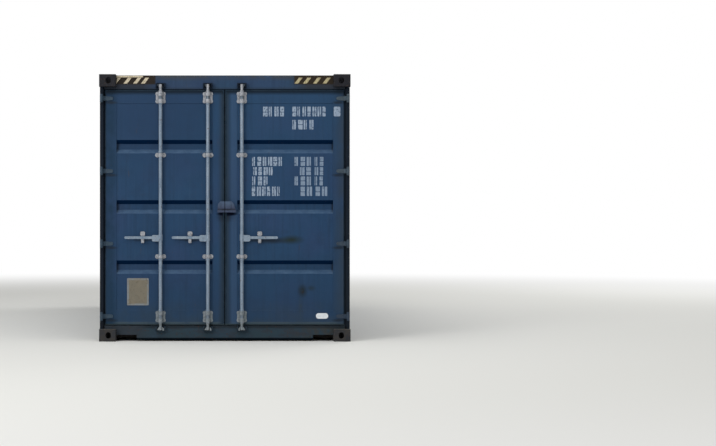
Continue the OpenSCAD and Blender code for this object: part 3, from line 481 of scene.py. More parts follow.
# The forgings are paler and less blue than the tube, and greener where road dirt reaches them
bracketLook = {
    "base": "#9c9da2", "rough": 0.55, "metal": 0.35,
    "layers": zincWear[:1] + zincWear[2:] + [
        {"fade": {"Z": (0.8, 0.3)}, "grain": 0.05, "cover": (0.2, 0.5), "colour": "#6d787d", "amount": 0.8},
        {"grain": 0.018, "seed": 16, "cover": (0.5, 0.6), "colour": "#5f676e", "amount": 0.5, "rough": 0.7},
    ] + [
        # the fingers of the upper cams darkened, partly old grease, partly painted shade inside the keepers
        {"spot": (rod["x"] + rod["way"] * 0.025, 2.490, 0.017, 0.040), "colour": "#222d38", "amount": 0.9,
         "core": 0.7, "metal": 0.0, "shine": 0.2}
        for rod in rods.values()
    ],
}
hingeLook = {
    "base": "#38464f", "rough": 0.6, "shine": 0.3,
    "layers": [
        {"grain": 0.03, "cover": (0.4, 0.6), "colour": "#465561", "amount": 0.7},
        {"fade": {"XLeft": (-0.9, -1.0)}, "colour": "#1d364b", "amount": 0.6},
        {"fade": {"XRight": (0.9, 1.0), "Z": (2.0, 0.4)}, "colour": "#1e2d42", "amount": 0.75},
        {"grain": 0.012, "seed": 4, "cover": (0.55, 0.65), "colour": "#2a3138", "amount": 0.6,
         "rough": 0.8},
        # painted shade on the hinges' faces that look down
        {"facing": (0, 0, -1), "colour": "#0b131c", "amount": 0.9},
    ] + rustSpecks,
}
lockBoxLook = {
    "base": "#354058", "rough": 0.55, "shine": 0.3,
    "layers": [
        # painted highlight: the upper part of the lock box lighter, as lit from above
        {"fade": {"Z": (1.300, 1.335)}, "colour": "#475a73", "amount": 0.8},
        {"grain": 0.04, "cover": (0.45, 0.65), "colour": "#2a3550", "amount": 0.5},
        {"grain": 0.012, "seed": 3, "cover": (0.55, 0.66), "colour": "#46536a", "amount": 0.5,
         "rough": 0.75},
        # painted shadow line under the hood
        {"fade": {"ZLow": (1.268, 1.278), "ZHigh": (1.291, 1.287), "Y": (doorEnd + 0.020, doorEnd + 0.025)},
         "colour": "#10192a", "amount": 0.85},
    ] + paintedShadeAndDust[:1] + rustSpecks,
}
keeperLook = {
    "base": "#172530", "rough": 0.6, "shine": 0.15,
    "layers": [
        # the upper keepers darker, partly their own paint, partly painted shade under the header
        {"fade": {"Z": (1.2, 1.4)}, "colour": "#0d1c2e"},
        {"grain": 0.02, "seed": 5, "cover": (0.55, 0.68), "colour": "#333e47", "amount": 0.5, "rough": 0.8},
        {"grain": 0.004, "detail": 2, "cover": (0.3, 0.7), "raise": 0.1},
    ] + rustSpecks,
}
# Extruded rubber (EPDM): matt, gone blue grey with chalk and dust
rubberLook = {
    "base": "#1a2b3a", "rough": 0.9, "shine": 0.2,
    "layers": [
        {"grain": 0.05, "cover": (0.4, 0.65), "colour": "#2a3946", "amount": 0.6},
        {"fade": {"Z": (0.172, 0.165)}, "colour": "#3c494e", "amount": 0.8},
        {"grain": 0.004, "detail": 2, "cover": (0.3, 0.7), "raise": 0.08},
    ],
}
# Moulded ABS: even and slightly soft in its gloss
ventLook = {
    "base": "#33465a", "rough": 0.5,
    "layers": [
        {"grain": 0.04, "cover": (0.4, 0.65), "colour": "#46576a", "amount": 0.5},
        {"facing": (0, 0, 1), "colour": "#75797a", "amount": 0.6, "rough": 0.85},
    ],
}
# Oiled hardwood plywood: long grain along the container, dark wheel marks, pale scratches
floorLook = {
    "base": "#6d4f36", "rough": 0.68,
    "layers": [
        {"grain": 0.006, "stretch": (1, 40, 1), "cover": (0.35, 0.65), "colour": "#8c6a48", "amount": 0.7,
         "raise": 0.15},
        {"grain": 0.03, "stretch": (1, 14, 1), "seed": 2, "cover": (0.5, 0.7), "colour": "#4b3526",
         "amount": 0.7},
        {"grain": 0.5, "stretch": (1, 3, 1), "seed": 3, "cover": (0.45, 0.65), "colour": "#3a2f28",
         "amount": 0.6, "rough": 0.5},
        {"grain": 0.004, "stretch": (3, 60, 1), "seed": 4, "cover": (0.66, 0.7), "colour": "#a88c69",
         "amount": 0.6},
    ],
}

# Brushed marking paint, thin and scraped, with the ground showing through
stripeLook = {
    "base": "#c6baa2", "rough": 0.7, "shine": 0.3,
    "layers": [
        {"fade": {"X": (-0.3, 0.3)}, "colour": "#b3a883"},
        {"grain": 0.02, "cover": (0.5, 0.62), "colour": "#8d8062", "amount": 0.6},
        {"grain": 0.008, "seed": 3, "cover": (0.6, 0.66), "colour": "#2e2417", "amount": 0.85},
    ],
}
# Sprayed stencil paint: chalky off-white, blue ghosting through where it is thin
stencilLook = {
    "base": "#94a3b6", "rough": 0.75, "shine": 0.2,
    "layers": [
        {"grain": 0.05, "cover": (0.45, 0.65), "colour": "#7e8fa5", "amount": 0.8},
        {"grain": 0.014, "stretch": (1, 1, 2), "seed": 5, "cover": (0.54, 0.62), "colour": "#33495f",
         "amount": 0.85},
        {"fade": {"X": (0.66, 0.74), "Z": (1.9, 1.8)}, "colour": "#70839a", "amount": 0.6},
    ],
}
# Etched aluminium plate under old lacquer gone brown, with a pale rim
plateLook = {
    "base": "#787f84", "rough": 0.6, "metal": 0.2,
    "layers": [
        {"fade": {"XLeft": (-0.937, -0.931), "XRight": (-0.754, -0.760),
                  "ZLow": (0.362, 0.368), "ZHigh": (0.598, 0.592)},
         "colour": "#6f6a5d", "rough": 0.8, "metal": 0.0},
        {"grain": 0.07, "cover": (0.45, 0.6), "colour": "#776f60", "amount": 0.6, "metal": 0.0},
        {"grain": 0.02, "seed": 3, "cover": (0.55, 0.65), "colour": "#5b564a", "amount": 0.6},
        {"grain": 0.005, "detail": 2, "cover": (0.3, 0.7), "raise": 0.05},
    ],
}
# Printed vinyl: clean, smooth, a little yellowed
vinylLook = {
    "base": "#dfe4e7", "rough": 0.35,
    "layers": [
        {"grain": 0.02, "cover": (0.5, 0.7), "colour": "#c2cad1", "amount": 0.5},
        {"grain": 0.05, "seed": 2, "cover": (0.6, 0.7), "colour": "#a9a99f", "amount": 0.4},
    ],
}

finishes = {
    "stripePaint": stripeLook,
    "stencilPaint": stencilLook,
    "etchedPlate": plateLook,
    "vinylLabel": vinylLook,
    "doorPaint": doorLook,
    "framePaint": frameLook,
    "headerPaint": headerLook,
    "sillPaint": sillLook,
    "lowCastSteel": lowCastingLook,
    "highCastSteel": highCastingLook,
    "leftWallPaint": wallLook((1, 0, 0)),
    "rightWallPaint": wallLook((-1, 0, 0)),
    "endWallPaint": wallLook((0, -1, 0)),
    "roofPaint": roofLook,
    "underseal": undersealLook,
    "zincRod": rodLook,
    "zincBracket": bracketLook,
    "hingePaint": hingeLook,
    "lockBoxPaint": lockBoxLook,
    "keeperSteel": keeperLook,
    "epdmRubber": rubberLook,
    "absVent": ventLook,
    "plywood": floorLook,
}
finish = {name: makeFinish(name, look) for name, look in finishes.items()}
wearsFinish = {
    "doorPaint": ["left_door_stiles", "left_door_rails", "left_door_panel", "right_door_stiles",
                  "right_door_rails", "right_door_panel"],
    "hingePaint": ["left_door_hinge_blades", "right_door_hinge_blades", "post_hinge_lugs"],
    "lockBoxPaint": ["left_lock_box", "right_lock_box"],
    "framePaint": ["rear_corner_posts", "front_corner_posts", "front_header", "front_sill", "top_side_rails",
                   "bottom_side_rails"],
    "headerPaint": ["rear_header"],
    "sillPaint": ["rear_sill"],
    "lowCastSteel": ["bottom_corner_castings"],
    "highCastSteel": ["top_corner_castings"],
    "leftWallPaint": ["left_side_wall"],
    "rightWallPaint": ["right_side_wall"],
    "endWallPaint": ["front_end_wall"],
    "roofPaint": ["roof_sheet"],
    "underseal": ["floor_cross_members", "fork_pockets"],
    "zincRod": ["outer_rod", "left_inner_rod", "right_inner_rod", "outer_handle", "left_inner_handle",
                "right_inner_handle"],
    "zincBracket": ["outer_rod_cams", "left_inner_rod_cams", "right_inner_rod_cams", "left_door_rod_brackets",
                    "left_door_handle_retainers", "right_door_rod_brackets", "right_door_handle_retainer"],
    "keeperSteel": ["cam_keepers"],
    "epdmRubber": ["left_door_seal", "right_door_seal"],
    "absVent": ["side_vents"],
    "plywood": ["floor_boards"],
}
for finishName, wearers in wearsFinish.items():
    for wearer in wearers:
        for materialSlot in nodes[wearer].material_slots:
            materialSlot.material = finish[finishName]
bare = set(nodes) - {wearer for wearers in wearsFinish.values() for wearer in wearers}
print("finishes on", len(nodes) - len(bare), "nodes; without one:", sorted(bare))


# Shapes and trees. Depths are counted from the door end.

def atDepth(x, depth, z):
    return Vector((x, doorEnd + depth, z))


def addPlate(bm, outline, front, back):
    # a flat plate that faces the door end, its outline given as (x, z)
    near = [bm.verts.new(atDepth(x, front, z)) for x, z in outline]
    far = [bm.verts.new(atDepth(x, back, z)) for x, z in outline]
    bm.faces.new(near)
    bm.faces.new(far[::-1])
    for i in range(len(outline)):
        j = (i + 1) % len(outline)
        bm.faces.new((near[j], near[i], far[i], far[j]))


def roundedOutline(x0, z0, x1, z1, radius, steps=6):
    outline = []
    for cx, cz, start in ((x1, z1, 0), (x0, z1, 90), (x0, z0, 180), (x1, z0, 270)):
        cx += radius if cx == x0 else -radius
        cz += radius if cz == z0 else -radius
        for i in range(steps + 1):
            angle = math.radians(start + 90 * i / steps)
            outline.append((cx + radius * math.cos(angle), cz + radius * math.sin(angle)))
    return outline


def addRing(bm, edges, profile):
    # a mitred ring round a door's edge: profile points are (outwards from the edge, depth),
    # and edges is (x0, x1, z0, z1, how far outwards counts at x0, at x1)
    x0, x1, z0, z1, out0, out1 = edges
    corners = ((x0, z0, -out0, -1), (x1, z0, out1, -1), (x1, z1, out1, 1), (x0, z1, -out0, 1))
    loops = []
    for x, z, outX, outZ in corners:
        loops.append([bm.verts.new(atDepth(x + u * outX, depth, z + u * outZ)) for u, depth in profile])
    for c in range(4):
        here = loops[c]
        there = loops[(c + 1) % 4]
        for i in range(len(profile)):
            j = (i + 1) % len(profile)
            bm.faces.new((here[i], here[j], there[j], there[i]))


def placePiece(name, mesh, finishName, body, replaced=()):
    piece = bpy.data.objects.new(name, mesh)
    bpy.context.collection.objects.link(piece)
    mesh.materials.clear()
    mesh.materials.append(finish[finishName])
    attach(piece, body)
    if replaced:
        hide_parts(*replaced)
    return piece


def closeShape(bm, name, smooth=False):
    bmesh.ops.recalc_face_normals(bm, faces=bm.faces)
    mesh = bpy.data.meshes.new(name)
    bm.to_mesh(mesh)
    bm.free()
    mesh.polygons.foreach_set("use_smooth", [smooth] * len(mesh.polygons))
    return mesh


def newTree(name, sockets):
    tree = bpy.data.node_groups.new(name, "GeometryNodeTree")
    tree.interface.new_socket("Geometry", in_out="INPUT", socket_type="NodeSocketGeometry")
    for label, kind in sockets.items():
        tree.interface.new_socket(label, in_out="INPUT", socket_type="NodeSocket" + kind)
    tree.interface.new_socket("Geometry", in_out="OUTPUT", socket_type="NodeSocketGeometry")
    return tree


def makePointTree():
    # one part on every point, each turned a little about the axis that Twist names
    tree = newTree("partOnPoints", {
        "Part": "Object", "Twist": "Vector", "Seed": "Int", "Finish": "Material"})
    given = addNode(tree, "NodeGroupInput").outputs
    part = addNode(tree, "GeometryNodeObjectInfo", {"Object": given["Part"], "As Instance": True})
    least = addNode(tree, "ShaderNodeVectorMath", {0: given["Twist"], 3: -1.0}, operation="SCALE")
    turn = addNode(tree, "FunctionNodeRandomValue", {
        0: least.outputs[0], 1: given["Twist"], "Seed": given["Seed"]}, data_type="FLOAT_VECTOR")
    spread = addNode(tree, "GeometryNodeInstanceOnPoints", {
        "Points": given["Geometry"], "Instance": part.outputs["Geometry"], "Rotation": turn.outputs[0]})
    solid = addNode(tree, "GeometryNodeRealizeInstances", {"Geometry": spread.outputs[0]})
    dressed = addNode(tree, "GeometryNodeSetMaterial", {
        "Geometry": solid.outputs[0], "Material": given["Finish"]})
    addNode(tree, "NodeGroupOutput", {"Geometry": dressed.outputs[0]})
    return tree


def makeBeadTree():
    # a round bead along every edge chain, with the ripple of a hand weld
    tree = newTree("beadAlongEdges", {
        "Radius": "Float", "Ripple": "Float", "Ripple Length": "Float", "Sides": "Int", "Finish": "Material"})
    given = addNode(tree, "NodeGroupInput").outputs
    path = addNode(tree, "GeometryNodeMeshToCurve", {"Mesh": given["Geometry"]})
    grain = addNode(tree, "ShaderNodeMath", {0: 1.0, 1: given["Ripple Length"]}, operation="DIVIDE")
    noise = addNode(tree, "ShaderNodeTexNoise", {"Scale": grain.outputs[0], "Detail": 1.0})
    swell = addNode(tree, "ShaderNodeMath", {
        0: noise.outputs[0], 1: given["Ripple"], 2: 0.8}, operation="MULTIPLY_ADD")
    thick = addNode(tree, "ShaderNodeMath", {0: swell.outputs[0], 1: given["Radius"]}, operation="MULTIPLY")
    circle = addNode(tree, "GeometryNodeCurvePrimitiveCircle", {"Resolution": given["Sides"], "Radius": 1.0})
    bead = addNode(tree, "GeometryNodeCurveToMesh", {
        "Curve": path.outputs[0], "Profile Curve": circle.outputs[0], "Scale": thick.outputs[0],
        "Fill Caps": True})
    smooth = addNode(tree, "GeometryNodeSetShadeSmooth", {"Geometry": bead.outputs[0]})
    solid = addNode(tree, "GeometryNodeRealizeInstances", {"Geometry": smooth.outputs[0]})
    dressed = addNode(tree, "GeometryNodeSetMaterial", {
        "Geometry": solid.outputs[0], "Material": given["Finish"]})
    addNode(tree, "NodeGroupOutput", {"Geometry": dressed.outputs[0]})
    return tree


def growPiece(name, mesh, tree, values, finishName, body):
    # runs a tree on the mesh and keeps the result as a plain mesh
    holder = bpy.data.objects.new(name + "_path", mesh)
    bpy.context.collection.objects.link(holder)
    modifier = holder.modifiers.new("tree", "NODES")
    modifier.node_group = tree
    values = dict(values, Finish=finish[finishName])
    for item in tree.interface.items_tree:
        if item.in_out == "INPUT" and item.name in values:
            modifier[item.identifier] = values[item.name]
    bpy.context.view_layer.update()
    evaluated = holder.evaluated_get(bpy.context.evaluated_depsgraph_get())
    grown = bpy.data.meshes.new_from_object(evaluated)
    holder.modifiers.clear()
    bpy.data.objects.remove(holder)
    grown.name = name
    return placePiece(name, grown, finishName, body)


def chainMesh(name, chains, step=None):
    # edge chains as one mesh; with a step, long edges get points in between and corners stay
    points = []
    edges = []
    for chain in chains:
        first = len(points)
        for here, there in zip(chain, chain[1:]):
            parts = max(1, round((there - here).length / step)) if step else 1
            points += [here.lerp(there, i / parts) for i in range(parts)]
        points.append(chain[-1])
        edges += [(i, i + 1) for i in range(first, len(points) - 1)]
    mesh = bpy.data.meshes.new(name)
    mesh.from_pydata(points, edges, [])
    return mesh


def turnedPart(name, profile, sides, axis="Z"):
    # a small round part turned from (radius, height) points, closed at both ends of its axis
    bm = bmesh.new()
    rings = []
    for radius, height in profile:
        ring = []
        for i in range(sides if radius else 1):
            angle = 2 * math.pi * i / sides
            x, y = radius * math.cos(angle), radius * math.sin(angle)
            ring.append(bm.verts.new((x, y, height) if axis == "Z" else (x, -height, y)))
        rings.append(ring)
    for low, high in zip(rings, rings[1:]):
        for i in range(sides):
            j = (i + 1) % sides
            bm.faces.new(list(dict.fromkeys((
                low[i % len(low)], low[j % len(low)], high[j % len(high)], high[i % len(high)]))))
    part = bpy.data.objects.new(name, closeShape(bm, name, smooth=True))
    bpy.context.collection.objects.link(part)
    return part


pointTree = makePointTree()
beadTree = makeBeadTree()
print("trees ready")


# Warning stripes on the header, brushed on by hand
stripes = {
    "depth": 62 * mm, "thick": 0.8 * mm,
    "low": 2.506, "high": 2.563, "width": 0.036, "lean": 0.044,
    "centres": (-1.050, -0.946, -0.852, -0.776, 0.717, 0.800, 0.897, 0.991),
    "start": -1.056,  # beside the casting
    "band": (-1.054, 2.566, -0.796, 2.582), "bandCorner": 4 * mm,
}
half = stripes["width"] / 2
lean = stripes["lean"] / 2
front = stripes["depth"] - stripes["thick"]
bm = bmesh.new()
for centre in stripes["centres"]:
    corners = [
        (centre - half - lean, stripes["low"]), (centre + half - lean, stripes["low"]),
        (centre + half + lean, stripes["high"]), (centre - half + lean, stripes["high"]),
    ]
    corners = [(max(x, stripes["start"]), z) for x, z in corners]
    addPlate(bm, corners, front, stripes["depth"])
addPlate(bm, roundedOutline(*stripes["band"], stripes["bandCorner"], 2), front, stripes["depth"])
placePiece("header_warning_stripes", closeShape(bm, "header_warning_stripes"), "stripePaint", "shell")

# Stencil marks: plain bars, halved by a bridge that runs up in some and across in others
marks = {
    "panelDepth": 62 * mm, "stileDepth": 60 * mm, "thick": 0.5 * mm,
    "cell": 51 * mm, "gap": 13 * mm, "bridge": 6 * mm, "corner": 4 * mm, "loneCorner": 12 * mm,
    "rows": [
        (2.186, 2.281, [(0.372, 0.580), (0.657, 0.986)]),
        (2.059, 2.152, [(0.657, 0.865)]),
        (1.704, 1.792, [(0.266, 0.561), (0.679, 0.842), (0.874, 0.961)]),
        (1.614, 1.693, [(0.276, 0.465), (0.730, 0.842), (0.874, 0.961)]),
        (1.515, 1.602, [(0.266, 0.420), (0.679, 0.842), (0.874, 0.955)]),
        (1.412, 1.503, [(0.263, 0.544), (0.737, 0.845), (0.883, 0.992)]),
    ],
    "lone": (1.060, 2.186, 1.124, 2.281),
    "widths": (1.0, 0.84, 1.05, 0.7, 0.95, 0.9, 1.08),
}
gapHalf = marks["bridge"] / 2
front = marks["panelDepth"] - marks["thick"]
bm = bmesh.new()
for low, high, groups in marks["rows"]:
    for x0, x1 in groups:
        count = round((x1 - x0 + marks["gap"]) / marks["cell"])
        pitch = (x1 - x0 + marks["gap"]) / count
        for i in range(count):
            wide = (pitch - marks["gap"]) * marks["widths"][(i + round(low * 1000)) % 7]
            left = x0 + i * pitch
            right = left + wide
            if (i + round(low * 100)) % 3:
                middle = left + wide * (0.42 + 0.08 * (i % 3))
                halves = ((left, low, middle - gapHalf, high), (middle + gapHalf, low, right, high))
            else:
                middle = low + (high - low) * (0.44 + 0.06 * (i % 3))
                halves = ((left, low, right, middle - gapHalf), (left, middle + gapHalf, right, high))
            for half in halves:
                addPlate(bm, roundedOutline(*half, marks["corner"], 2), front, marks["panelDepth"])
front = marks["stileDepth"] - marks["thick"]
addPlate(bm, roundedOutline(*marks["lone"], marks["loneCorner"], 4), front, marks["stileDepth"])
placePiece("stencil_marks", closeShape(bm, "stencil_marks"), "stencilPaint", "right_door")

# Data plate on the left door: a rimmed plate with raised lines, riveted at its corners
dataPlate = {
    "x": (-0.951, -0.740), "z": (0.348, 0.612), "depth": 62 * mm, "thick": 1.5 * mm, "corner": 10 * mm,
    "rim": 0.8 * mm, "rimWidth": 15 * mm, "rimInset": 1 * mm, "rimCorner": 3 * mm,
    "lines": 9, "lineHeight": 7 * mm, "lineProud": 0.4 * mm, "lineInset": 8 * mm, "lineCorner": 2 * mm,
    "lineLengths": (1.0, 0.7, 0.9), "rivetInset": 9 * mm,
}
x0, x1 = dataPlate["x"]
z0, z1 = dataPlate["z"]
front = dataPlate["depth"] - dataPlate["thick"]
rim = dataPlate["rimWidth"]
inset = dataPlate["rimInset"]
bm = bmesh.new()
addPlate(bm, roundedOutline(x0, z0, x1, z1, dataPlate["corner"]), front, dataPlate["depth"])
for bar in ((x0 + inset, z0 + rim, x0 + rim, z1 - rim), (x1 - rim, z0 + rim, x1 - inset, z1 - rim),
            (x0 + rim, z0 + inset, x1 - rim, z0 + rim), (x0 + rim, z1 - rim, x1 - rim, z1 - inset)):
    addPlate(bm, roundedOutline(*bar, dataPlate["rimCorner"], 2), front - dataPlate["rim"], front)
linePitch = (z1 - z0 - 2 * rim) / (dataPlate["lines"] + 1)
half = dataPlate["lineHeight"] / 2
left = x0 + rim + dataPlate["lineInset"]
for i in range(dataPlate["lines"]):
    z = z0 + rim + (i + 1) * linePitch
    reach = (x1 - x0 - 2 * (rim + dataPlate["lineInset"])) * dataPlate["lineLengths"][i % 3]
    outline = roundedOutline(left, z - half, left + reach, z + half, dataPlate["lineCorner"], 2)
    addPlate(bm, outline, front - dataPlate["lineProud"], front)
placePiece("data_plate", closeShape(bm, "data_plate"), "etchedPlate", "left_door")

# A plain pill-shaped vinyl label
label = {"outline": (0.886, 0.218, 1.006, 0.272), "depth": 60 * mm, "thick": 0.4 * mm}
radius = (label["outline"][3] - label["outline"][1]) / 2
bm = bmesh.new()
addPlate(bm, roundedOutline(*label["outline"], radius, 10), label["depth"] - label["thick"], label["depth"])
placePiece("blank_label", closeShape(bm, "blank_label"), "vinylLabel", "right_door")
print("stripes, marks, plate and label ready")

# Door seals: two lips on a hollow back, mitred at the corners, and the flat strips that clamp them inside
doorEdges = {
    "left": (-1.154, -0.020, 0.168, 2.434, 1.0, 1.6),
    "right": (0.020, 1.154, 0.168, 2.434, 1.6, 1.0),
}
seal = {
    "profile": [
        (0, 64), (4, 63.2), (8.5, 64.5), (10, 66.5), (9.2, 69), (6, 69.5), (4.6, 73), (4, 79), (5.2, 85),
        (4, 91), (4.6, 97), (6, 100.5), (9.2, 101), (10, 103.5), (8.5, 105.5), (4, 106.8), (0, 106),
    ],
    "strip": [(-34, 110), (-9, 110), (-9, 111.6), (-10, 112), (-33, 112), (-34, 111.6)],
    "rivetLine": -21.5, "rivetPitch": 165 * mm, "stripFace": 112 * mm,
}


def scaled(points):
    return [(u * mm, depth * mm) for u, depth in points]


rivetHead = turnedPart("rivetHead", [
    (0.0055, 0), (0.005, -0.0011), (0.003, -0.0018), (0, -0.002)], 10, axis="Y")
for side, edges in doorEdges.items():
    bm = bmesh.new()
    addRing(bm, edges, scaled(seal["profile"]))
    name = f"{side}_door_gasket"
    placePiece(name, closeShape(bm, name), "epdmRubber", f"{side}_door", [f"{side}_door_seal"])
    bm = bmesh.new()
    flat = edges[:4] + (1.0, 1.0)
    addRing(bm, flat, scaled(seal["strip"]))
    name = f"{side}_gasket_strips"
    placePiece(name, closeShape(bm, name), "zincBracket", f"{side}_door")
    x0, x1, z0, z1 = edges[:4]
    inset = -seal["rivetLine"] * mm
    corners = [atDepth(x, seal["stripFace"], z) for x, z in (
        (x0 + inset, z0 + inset), (x1 - inset, z0 + inset), (x1 - inset, z1 - inset),
        (x0 + inset, z1 - inset), (x0 + inset, z0 + inset))]
    grid = chainMesh("rivets", [corners], seal["rivetPitch"])
    growPiece(f"{side}_gasket_rivets", grid, pointTree, {"Part": rivetHead, "Seed": 1}, "zincBracket",
              f"{side}_door")
print("seals ready")

# Rivets of the data plate
plateRivet = turnedPart("plateRivet", [
    (0.005, 0.0005), (0.0045, 0.0014), (0.0025, 0.002), (0, 0.0023)], 10, axis="Y")
inset = dataPlate["rivetInset"]
spots = [atDepth(x, front - dataPlate["rim"] * 0.4, z)
         for x in (dataPlate["x"][0] + inset, dataPlate["x"][1] - inset)
         for z in (dataPlate["z"][0] + inset, dataPlate["z"][1] - inset)]
growPiece("data_plate_rivets", chainMesh("spots", [[spot] for spot in spots]), pointTree,
          {"Part": plateRivet, "Seed": 2}, "zincBracket", "left_door")

# Bolt heads on the handle retainers
retainer = {"fromRod": 0.174, "z": 1.045, "depth": 44 * mm}
headBolt = turnedPart("headBolt", [(0.0085, 0), (0.0085, 0.0018), (0.007, 0.0026), (0, 0.0026)], 6, axis="Y")
for side in ("left", "right"):
    spots = [[atDepth(rod["x"] + rod["way"] * retainer["fromRod"], retainer["depth"], retainer["z"])]
             for rod in rods.values() if rod["door"] == side]
    growPiece(f"{side}_retainer_bolts", chainMesh("spots", spots), pointTree,
              {"Part": headBolt, "Twist": (0, 0.5, 0),
               "Seed": 3}, "zincBracket", f"{side}_door") 
# Lugs in the lower keepers, beside each cam's heel, which guide it home
lug = {
    "near": 19 * mm, "far": 35.5 * mm, "low": 103.5 * mm, "step": 119 * mm, "high": 139 * mm,
    "depth": (25 * mm, 54.5 * mm),
}
bm = bmesh.new()
for rod in rods.values():
    near = rod["x"] - rod["way"] * lug["near"]
    far = rod["x"] - rod["way"] * lug["far"]
    outline = [(near, lug["low"]), (far, lug["low"]), (far, lug["step"]), (near, lug["high"])]
    addPlate(bm, outline, *lug["depth"])
placePiece("keeper_lugs", closeShape(bm, "keeper_lugs"), "zincBracket", "shell")

# Collars welded to the lock rods beside their bearings
collar = {"depth": 34 * mm, "heights": (0.302, 0.793, 1.839, 2.305)}
collarPart = turnedPart("collarPart", [
    (0.016, -0.006), (0.020, -0.006), (0.0215, -0.0045), (0.0215, 0.0045), (0.020, 0.006), (0.016, 0.006),
    (0.016, -0.006)], 24)
for name, rod in rods.items():
    spots = [[atDepth(rod["x"], collar["depth"], z)] for z in collar["heights"]]
    growPiece(f"{name}_rod_collars", chainMesh("spots", spots), pointTree, {"Part": collarPart, "Seed": 4},
              "zincRod", f"{name}_lock_rod")
print("rivets, bolts and collars ready")

# Weld beads: round the door sheets, along the walls' wavy edges, and where the posts meet the castings
bead = {"radius": 3.2 * mm, "ripple": 0.45, "rippleLength": 9 * mm, "sides": 6, "step": 22 * mm}
doorSheet = {
    "x": (0.120, 1.054), "z": (0.298, 2.314), "face": 62 * mm,
    "ribs": (0.720, 1.306, 1.892), "ribHalf": 65 * mm, "ribDeep": 34 * mm, "slope": 38 * mm,
}


def growBeads(name, chains, finishName, body):
    growPiece(name, chainMesh(name, chains, bead["step"]), beadTree, {
        "Radius": bead["radius"], "Ripple": bead["ripple"], "Ripple Length": bead["rippleLength"],
        "Sides": bead["sides"]}, finishName, body)


inX, outX = doorSheet["x"]
z0, z1 = doorSheet["z"]
face = doorSheet["face"]
deep = face + doorSheet["ribDeep"]
half = doorSheet["ribHalf"]
slope = doorSheet["slope"]
for side, sign in (("left", -1), ("right", 1)):
    folds = [(z0, face)]
    for rib in doorSheet["ribs"]:
        folds += [(rib - half, face), (rib - half + slope, deep),
                  (rib + half - slope, deep), (rib + half, face)]
    folds.append((z1, face))
    chains = [[atDepth(sign * x, depth, z) for z, depth in folds] for x in (inX, outX)]
    chains += [[atDepth(sign * inX, face, z), atDepth(sign * outX, face, z)] for z in (z0, z1)]
    growBeads(f"{side}_door_welds", chains, "doorPaint", f"{side}_door")


def wavePath(span, pitch, flat, deep):
    # the folds of a wall's outer face as (along, depth), the same as the sheet's own
    waves = math.floor((span - flat) / pitch)
    slope = pitch / 2 - flat
    start = -waves * pitch / 2
    path = [(-span / 2, 0)]
    for i in range(waves):
        path += [(start + i * pitch + flat / 2, 0), (start + i * pitch + flat / 2 + slope, deep),
                 (start + i * pitch + flat / 2 + slope + flat, deep), (start + (i + 1) * pitch - flat / 2, 0)]
    return path + [(-start + flat / 2, 0), (span / 2, 0)]


frameSizes = {
    "halfWidth": 1.219, "halfLength": 3.029, "castingHeight": 0.118, "castingTop": 2.473,
    # the welds round the posts' ends, as (in from the side, in from the end)
    "rearPost": ((0.004, 0.178), (0.004, 0.054), (0.034, 0.054)),
    "frontPost": ((0.004, 0.178), (0.004, 0.004), (0.075, 0.004)),
    "railTop": 0.170, "topRailBase": 2.525, "endSillTop": 0.158, "roofSheet": 2.566, "roofEdge": 1.155,
    "roofEnds": (0.178, 0.060),
    "sideWave": (5.702, 0.278, 0.070, 0.034), "sideFace": 0.006,
    "endWave": (2.288, 0.250, 0.060, 0.043), "endFace": 0.008,
}
halfWidth = frameSizes["halfWidth"]
halfLength = frameSizes["halfLength"]
wallX = halfWidth - frameSizes["sideFace"]
roofStart, roofStop = frameSizes["roofEnds"]
sidePath = wavePath(*frameSizes["sideWave"])
endPath = wavePath(*frameSizes["endWave"])
chains = []
for sign in (-1, 1):
    for z in (frameSizes["railTop"], frameSizes["topRailBase"]):
        chains.append([Vector((sign * (wallX - deep), along, z)) for along, deep in sidePath])
    edge = sign * frameSizes["roofEdge"]
    chains.append([Vector((edge, y, frameSizes["roofSheet"]))
                   for y in (-halfLength + roofStart, halfLength - roofStop)])
    for z in (frameSizes["castingHeight"], frameSizes["castingTop"]):
        for end, corner in ((-1, frameSizes["rearPost"]), (1, frameSizes["frontPost"])):
            chains.append([Vector((sign * (halfWidth - a), end * (halfLength - d), z)) for a, d in corner])
for z in (frameSizes["endSillTop"], frameSizes["topRailBase"]):
    chains.append([Vector((along, halfLength - frameSizes["endFace"] - deep, z)) for along, deep in endPath])
growBeads("shell_welds", chains, "framePaint", "shell")
print("weld beads ready")

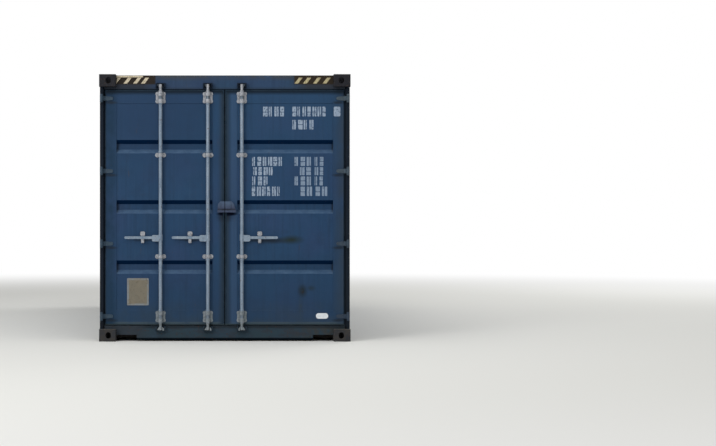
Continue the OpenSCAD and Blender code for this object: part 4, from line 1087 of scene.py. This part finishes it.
# Inside: loops for lashings along the floor and the roof rails, and the screws of the floor boards
lashing = {
    "rod": 5 * mm, "reach": 45 * mm, "halfWidth": 32 * mm, "pitch": 0.556, "count": 10, "sides": 10,
    # x, z, and 1 for the loops that stand up or -1 for the ones that hang
    "rows": ((1.170, 0.166, 1), (1.163, 2.528, -1)),
}
half = lashing["halfWidth"]
bend = lashing["reach"] - half
loop = [(-half, 0)]
for angle in range(0, 181, 15):
    turn = math.radians(angle)
    loop.append((-half * math.cos(turn), bend + half * math.sin(turn)))
loop.append((half, 0))
chains = []
for sign in (-1, 1):
    for i in range(lashing["count"]):
        y = (i - (lashing["count"] - 1) / 2) * lashing["pitch"]
        for x, z, up in lashing["rows"]:
            chains.append([Vector((sign * x, y + along, z + up * rise)) for along, rise in loop])
growPiece("lashing_loops", chainMesh("loops", chains), beadTree, {
    "Radius": lashing["rod"], "Ripple": 0.0, "Ripple Length": 1.0, "Sides": lashing["sides"]},
    "zincBracket", "shell")

floorScrews = {
    "firstMember": -2.821, "lastMember": 2.776, "members": 20, "memberHalf": 0.0225, "fromMember": 0.015,
    "pocket": 1.025, "clear": 0.235, "firstX": 0.055, "pitchX": 0.150, "perSide": 8, "floorTop": 0.176,
}
span = floorScrews["lastMember"] - floorScrews["firstMember"]
spots = []
for i in range(floorScrews["members"]):
    y = floorScrews["firstMember"] + i * span / (floorScrews["members"] - 1)
    if abs(abs(y + floorScrews["memberHalf"]) - floorScrews["pocket"]) > floorScrews["clear"]:
        for k in range(floorScrews["perSide"]):
            x = floorScrews["firstX"] + k * floorScrews["pitchX"]
            for sign in (-1, 1):
                spots.append([Vector((sign * x, y + floorScrews["fromMember"], floorScrews["floorTop"]))])
screwHead = turnedPart("screwHead", [
    (0, -0.003), (0.0065, -0.003), (0.0065, 0.0003), (0.0036, 0.0005), (0.002, -0.0008), (0, -0.0008)], 8)
growPiece("floor_screws", chainMesh("screws", spots), pointTree,
          {"Part": screwHead, "Twist": (0, 0, 3.1), "Seed": 5}, "zincBracket", "shell")
for part in (rivetHead, plateRivet, headBolt, collarPart, screwHead):
    bpy.data.objects.remove(part)
print("lashing loops and floor screws ready")
